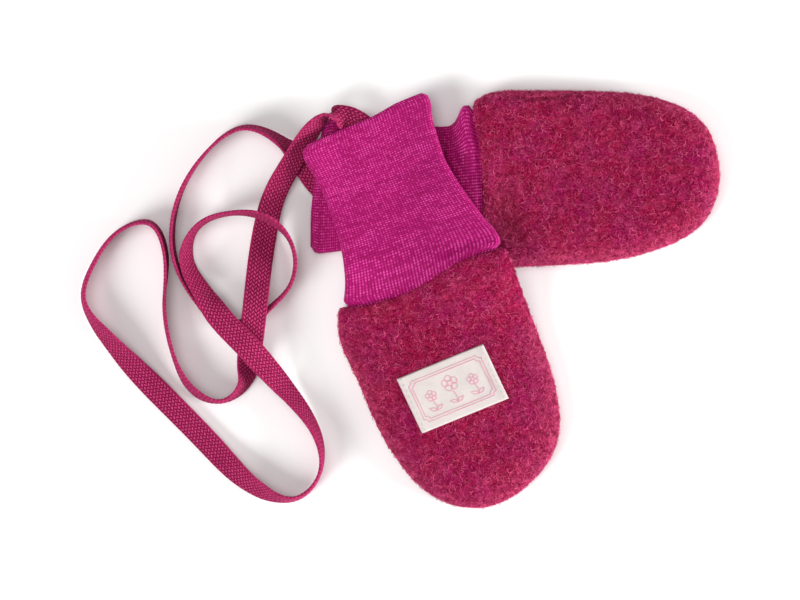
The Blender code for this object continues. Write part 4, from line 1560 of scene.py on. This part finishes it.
def arc_points(middle, reach, start, end, count):
    """Points (down, side) on part of an ellipse, with its angles in degrees."""
    angles = np.radians(np.linspace(start, end, count))
    down, side = middle
    return [(down - reach[0] * sin(angle), side + reach[1] * cos(angle)) for angle in angles]


def flower(row, petals):
    """Closed lines (down, side) for each petal of a flower, and for its centre."""
    middle = (row.down, row.side)
    centre = row.size * FLOWER_CENTRE
    lines = [arc_points(middle, (centre, centre), 0, 324, 10)]
    half_turn = 180 - PETAL_OPENING / 2
    for number in range(petals):
        bearing = 2 * pi * number / petals + pi / 2
        line = []
        for angle in np.radians(np.linspace(-half_turn, half_turn, 11)):
            reach = row.size * (PETAL_REACH + PETAL_SWELL * cos(angle))
            swing = bearing + PETAL_WIDTH * sin(angle) * pi / petals
            line.append((middle[0] - reach * sin(swing), middle[1] + reach * cos(swing)))
        lines.append(line)
    return lines


def leaf(foot, reach, bearing):
    """A closed line (down, side) for a leaf that grows from its foot."""
    line = [(share, LEAF_WIDTH * sin(pi * share)) for share in np.linspace(0.0, 1.0, 9)]
    line += [(out, -wide) for out, wide in line[-2:0:-1]]
    turn = radians(bearing)
    return [
        (
            foot[0] - reach * (out * sin(turn) + wide * cos(turn)),
            foot[1] + reach * (out * cos(turn) - wide * sin(turn)),
        )
        for out, wide in line
    ]


def border(half_down, half_side, corner):
    """A closed line round the label with its corners scooped in."""
    line = []
    for down, side, start in ((-1, 1, 180), (-1, -1, 270), (1, -1, 0), (1, 1, 90)):
        middle = (down * half_down, side * half_side)
        line += arc_points(middle, (corner, corner), start + 90, start, 7)
    return line


def edge_lines(name, surface, lines, above):
    """An object of loose edges along lines on the label; a closed line meets its start."""
    points = []
    edges = []
    for line, closed in lines:
        first = len(points)
        points += line
        edges += [(first + step, first + step + 1) for step in range(len(line) - 1)]
        if closed:
            edges.append((len(points) - 1, first))
    down, side = np.array(points).T
    height = label_height(down, side) + above
    return mesh_object(name, laid(surface, down, side, height), [], edges)


def stitch_tree():
    """Rounded stitches, end to end along lines."""
    sizes = dict.fromkeys(("Spacing", "Length", "Width", "Height"), "Float")
    tree, given = geometry_tree("Stitches", **sizes)
    curve = result_of(tree, "GeometryNodeMeshToCurve", {0: given["Geometry"]})
    even = {"Curve": curve, "Length": given["Spacing"]}
    even = result_of(tree, "GeometryNodeResampleCurve", even, mode="LENGTH")
    ball = result_of(tree, "GeometryNodeMeshUVSphere", {"Segments": 6, "Rings": 4, "Radius": 0.5})
    size = joined(tree, given["Height"], given["Width"], given["Length"])
    stitch = {"Geometry": ball, "Rotation": (0.0, pi / 2, 0.0), "Scale": size}
    stitch = result_of(tree, "GeometryNodeTransform", stitch)
    stitch = result_of(tree, "GeometryNodeSetShadeSmooth", {"Geometry": stitch})
    run = {"Vector": result_of(tree, "GeometryNodeInputTangent")}
    facing = result_of(tree, "FunctionNodeAlignRotationToVector", run, axis="X", pivot_axis="Z")
    sewn = {"Points": even, "Instance": stitch, "Rotation": facing}
    return end_tree(tree, given, result_of(tree, "GeometryNodeInstanceOnPoints", sewn))


class MITTENS_OT_label(bpy.types.Operator):
    """Weaves the label with its flower pattern, and sews its short ends to the front mitten"""

    bl_idname = "mittens.label"
    bl_label = "Woven Label"

    def execute(self, context):
        settings = context.scene.mittens_label
        fleece = bpy.data.objects["front_fleece_top"]
        surface = BVHTree.FromObject(fleece, context.evaluated_depsgraph_get())
        label = woven(surface, settings)
        tree = stitch_tree()
        pattern = edge_lines("label_pattern", surface, pattern_lines(), PATTERN_LIFT)
        thread = thread_material("label_thread", settings.thread)
        stitches = grown(pattern, tree, {**PATTERN_STITCH, "Material": thread})
        finish_piece(pattern, stitches)
        reach = LABEL_LENGTH / 2 - SEWING_END_GAP
        sides = (-SEWING_SIDE, SEWING_SIDE)
        rows = [([(-reach, side), (0.0, side), (reach, side)], False) for side in sides]
        sewing = edge_lines("label_sewing", surface, rows, SEWING_LIFT)
        thread = thread_material("sewing_thread", settings.sewing)
        stitches = grown(sewing, tree, {**SEWING_STITCH, "Material": thread})
        finish_piece(sewing, stitches)
        finish_piece(label, label.data)
        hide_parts("label")
        return {"FINISHED"}


def pattern_lines():
    """The label's lines, and whether each is closed: borders, flowers, stalks and leaves."""
    lines = [(border(*row), True) for row in BORDERS]
    for row in FLOWERS:
        lines += [(line, True) for line in flower(row, PETALS)]
        foot = (STALK_FOOT, row.side)
        bend = ((STALK_FOOT + row.down + row.size) / 2, row.side + STALK_BEND)
        lines.append(([(row.down + row.size, row.side), bend, foot], False))
        lines += [(leaf(foot, LEAF_REACH, bearing), True) for bearing in LEAF_BEARINGS]
    return lines


def woven(surface, settings):
    """The label itself, laid on the fleece and closed round its rim."""
    columns = int(LABEL_WIDTH / LABEL_STEP) + 1
    rows = int(LABEL_LENGTH / LABEL_STEP) + 1
    down = np.linspace(-LABEL_LENGTH / 2, LABEL_LENGTH / 2, rows)
    side = np.linspace(-LABEL_WIDTH / 2, LABEL_WIDTH / 2, columns)
    down, side = np.meshgrid(down, side, indexing="ij")
    rim = np.ones(down.shape, bool)
    rim[1:-1, 1:-1] = False
    face = laid(surface, down, side, np.where(rim, LABEL_WALL / 2, label_height(down, side)))
    under = laid(surface, down, side, np.where(rim, LABEL_WALL / 2, PIECE_GAP / 2))
    quads = grid_faces(rows, columns, False, False)
    both = np.concatenate([quads, quads[:, ::-1] + rows * columns])
    label = mesh_object("woven_label", np.concatenate([face, under]), both.tolist())
    place = np.tile(np.stack([side, down], axis=-1).reshape(-1, 2), (2, 1))
    keep_uv(label.data, "Weave", place[both])
    face_outwards(label.data, LABEL_MERGE * MM)
    label.data.materials.append(satin_material(settings))
    return label


def satin_material(settings):
    material, tree = cloth_material("woven_satin")
    place = cloth_place(tree, "Weave")
    pick = times(tree, place[1], PICKS_PER_MM)
    end = times(tree, place[0], ENDS_PER_MM)
    floats = wave(tree, times_plus(tree, maths(tree, "FLOOR", pick), 0.37, end))
    height = times(tree, wave(tree, pick), times_plus(tree, floats, 0.4, 0.6))
    stain = stretched(tree, grain(tree, own_place(tree), 160.0, 3.0), (0.35, 0.75), (0.0, 0.18))
    shade = times_plus(tree, minus(tree, 1.0, height), 0.16, stain)
    colour = blend(tree, shade, settings.colour, darkened(settings.colour, 0.6))
    return coloured(material, colour, height)


def thread_material(name, colour):
    material, tree = cloth_material(name)
    strands = grain(tree, own_place(tree), 5000.0)
    share = stretched(tree, strands, (0.35, 0.65), (0.0, 0.7))
    return coloured(material, blend(tree, share, colour, darkened(colour, 0.55)), strands)


class MITTENS_PT_panel(bpy.types.Panel):
    """Lists the mittens' pieces in the order in which they are made"""

    bl_idname = "MITTENS_PT_panel"
    bl_label = "Baby Mittens"
    bl_space_type = "VIEW_3D"
    bl_region_type = "UI"
    bl_category = "Mittens"

    def draw(self, context):
        for operator in OPERATORS:
            self.layout.operator(operator.bl_idname)


SETTINGS = (
    ("mittens_stage", StageSettings),
    ("mittens_tape", TapeSettings),
    ("mittens_cuffs", CuffSettings),
    ("mittens_fleece", FleeceSettings),
    ("mittens_label", LabelSettings),
)
OPERATORS = (
    MITTENS_OT_stage,
    MITTENS_OT_tape,
    MITTENS_OT_cuffs,
    MITTENS_OT_bags,
    MITTENS_OT_label,
)


def register():
    for name, group in SETTINGS:
        bpy.utils.register_class(group)
        setattr(bpy.types.Scene, name, PointerProperty(type=group))
    for made in (*OPERATORS, MITTENS_PT_panel):
        bpy.utils.register_class(made)


def unregister():
    for made in reversed((*OPERATORS, MITTENS_PT_panel)):
        bpy.utils.unregister_class(made)
    for name, group in reversed(SETTINGS):
        delattr(bpy.types.Scene, name)
        bpy.utils.unregister_class(group)


def main():
    register()
    bpy.ops.mittens.stage()
    bpy.ops.mittens.tape()
    bpy.ops.mittens.cuffs()
    bpy.ops.mittens.bags()
    bpy.ops.mittens.label()


if __name__ == "__main__":
    main()
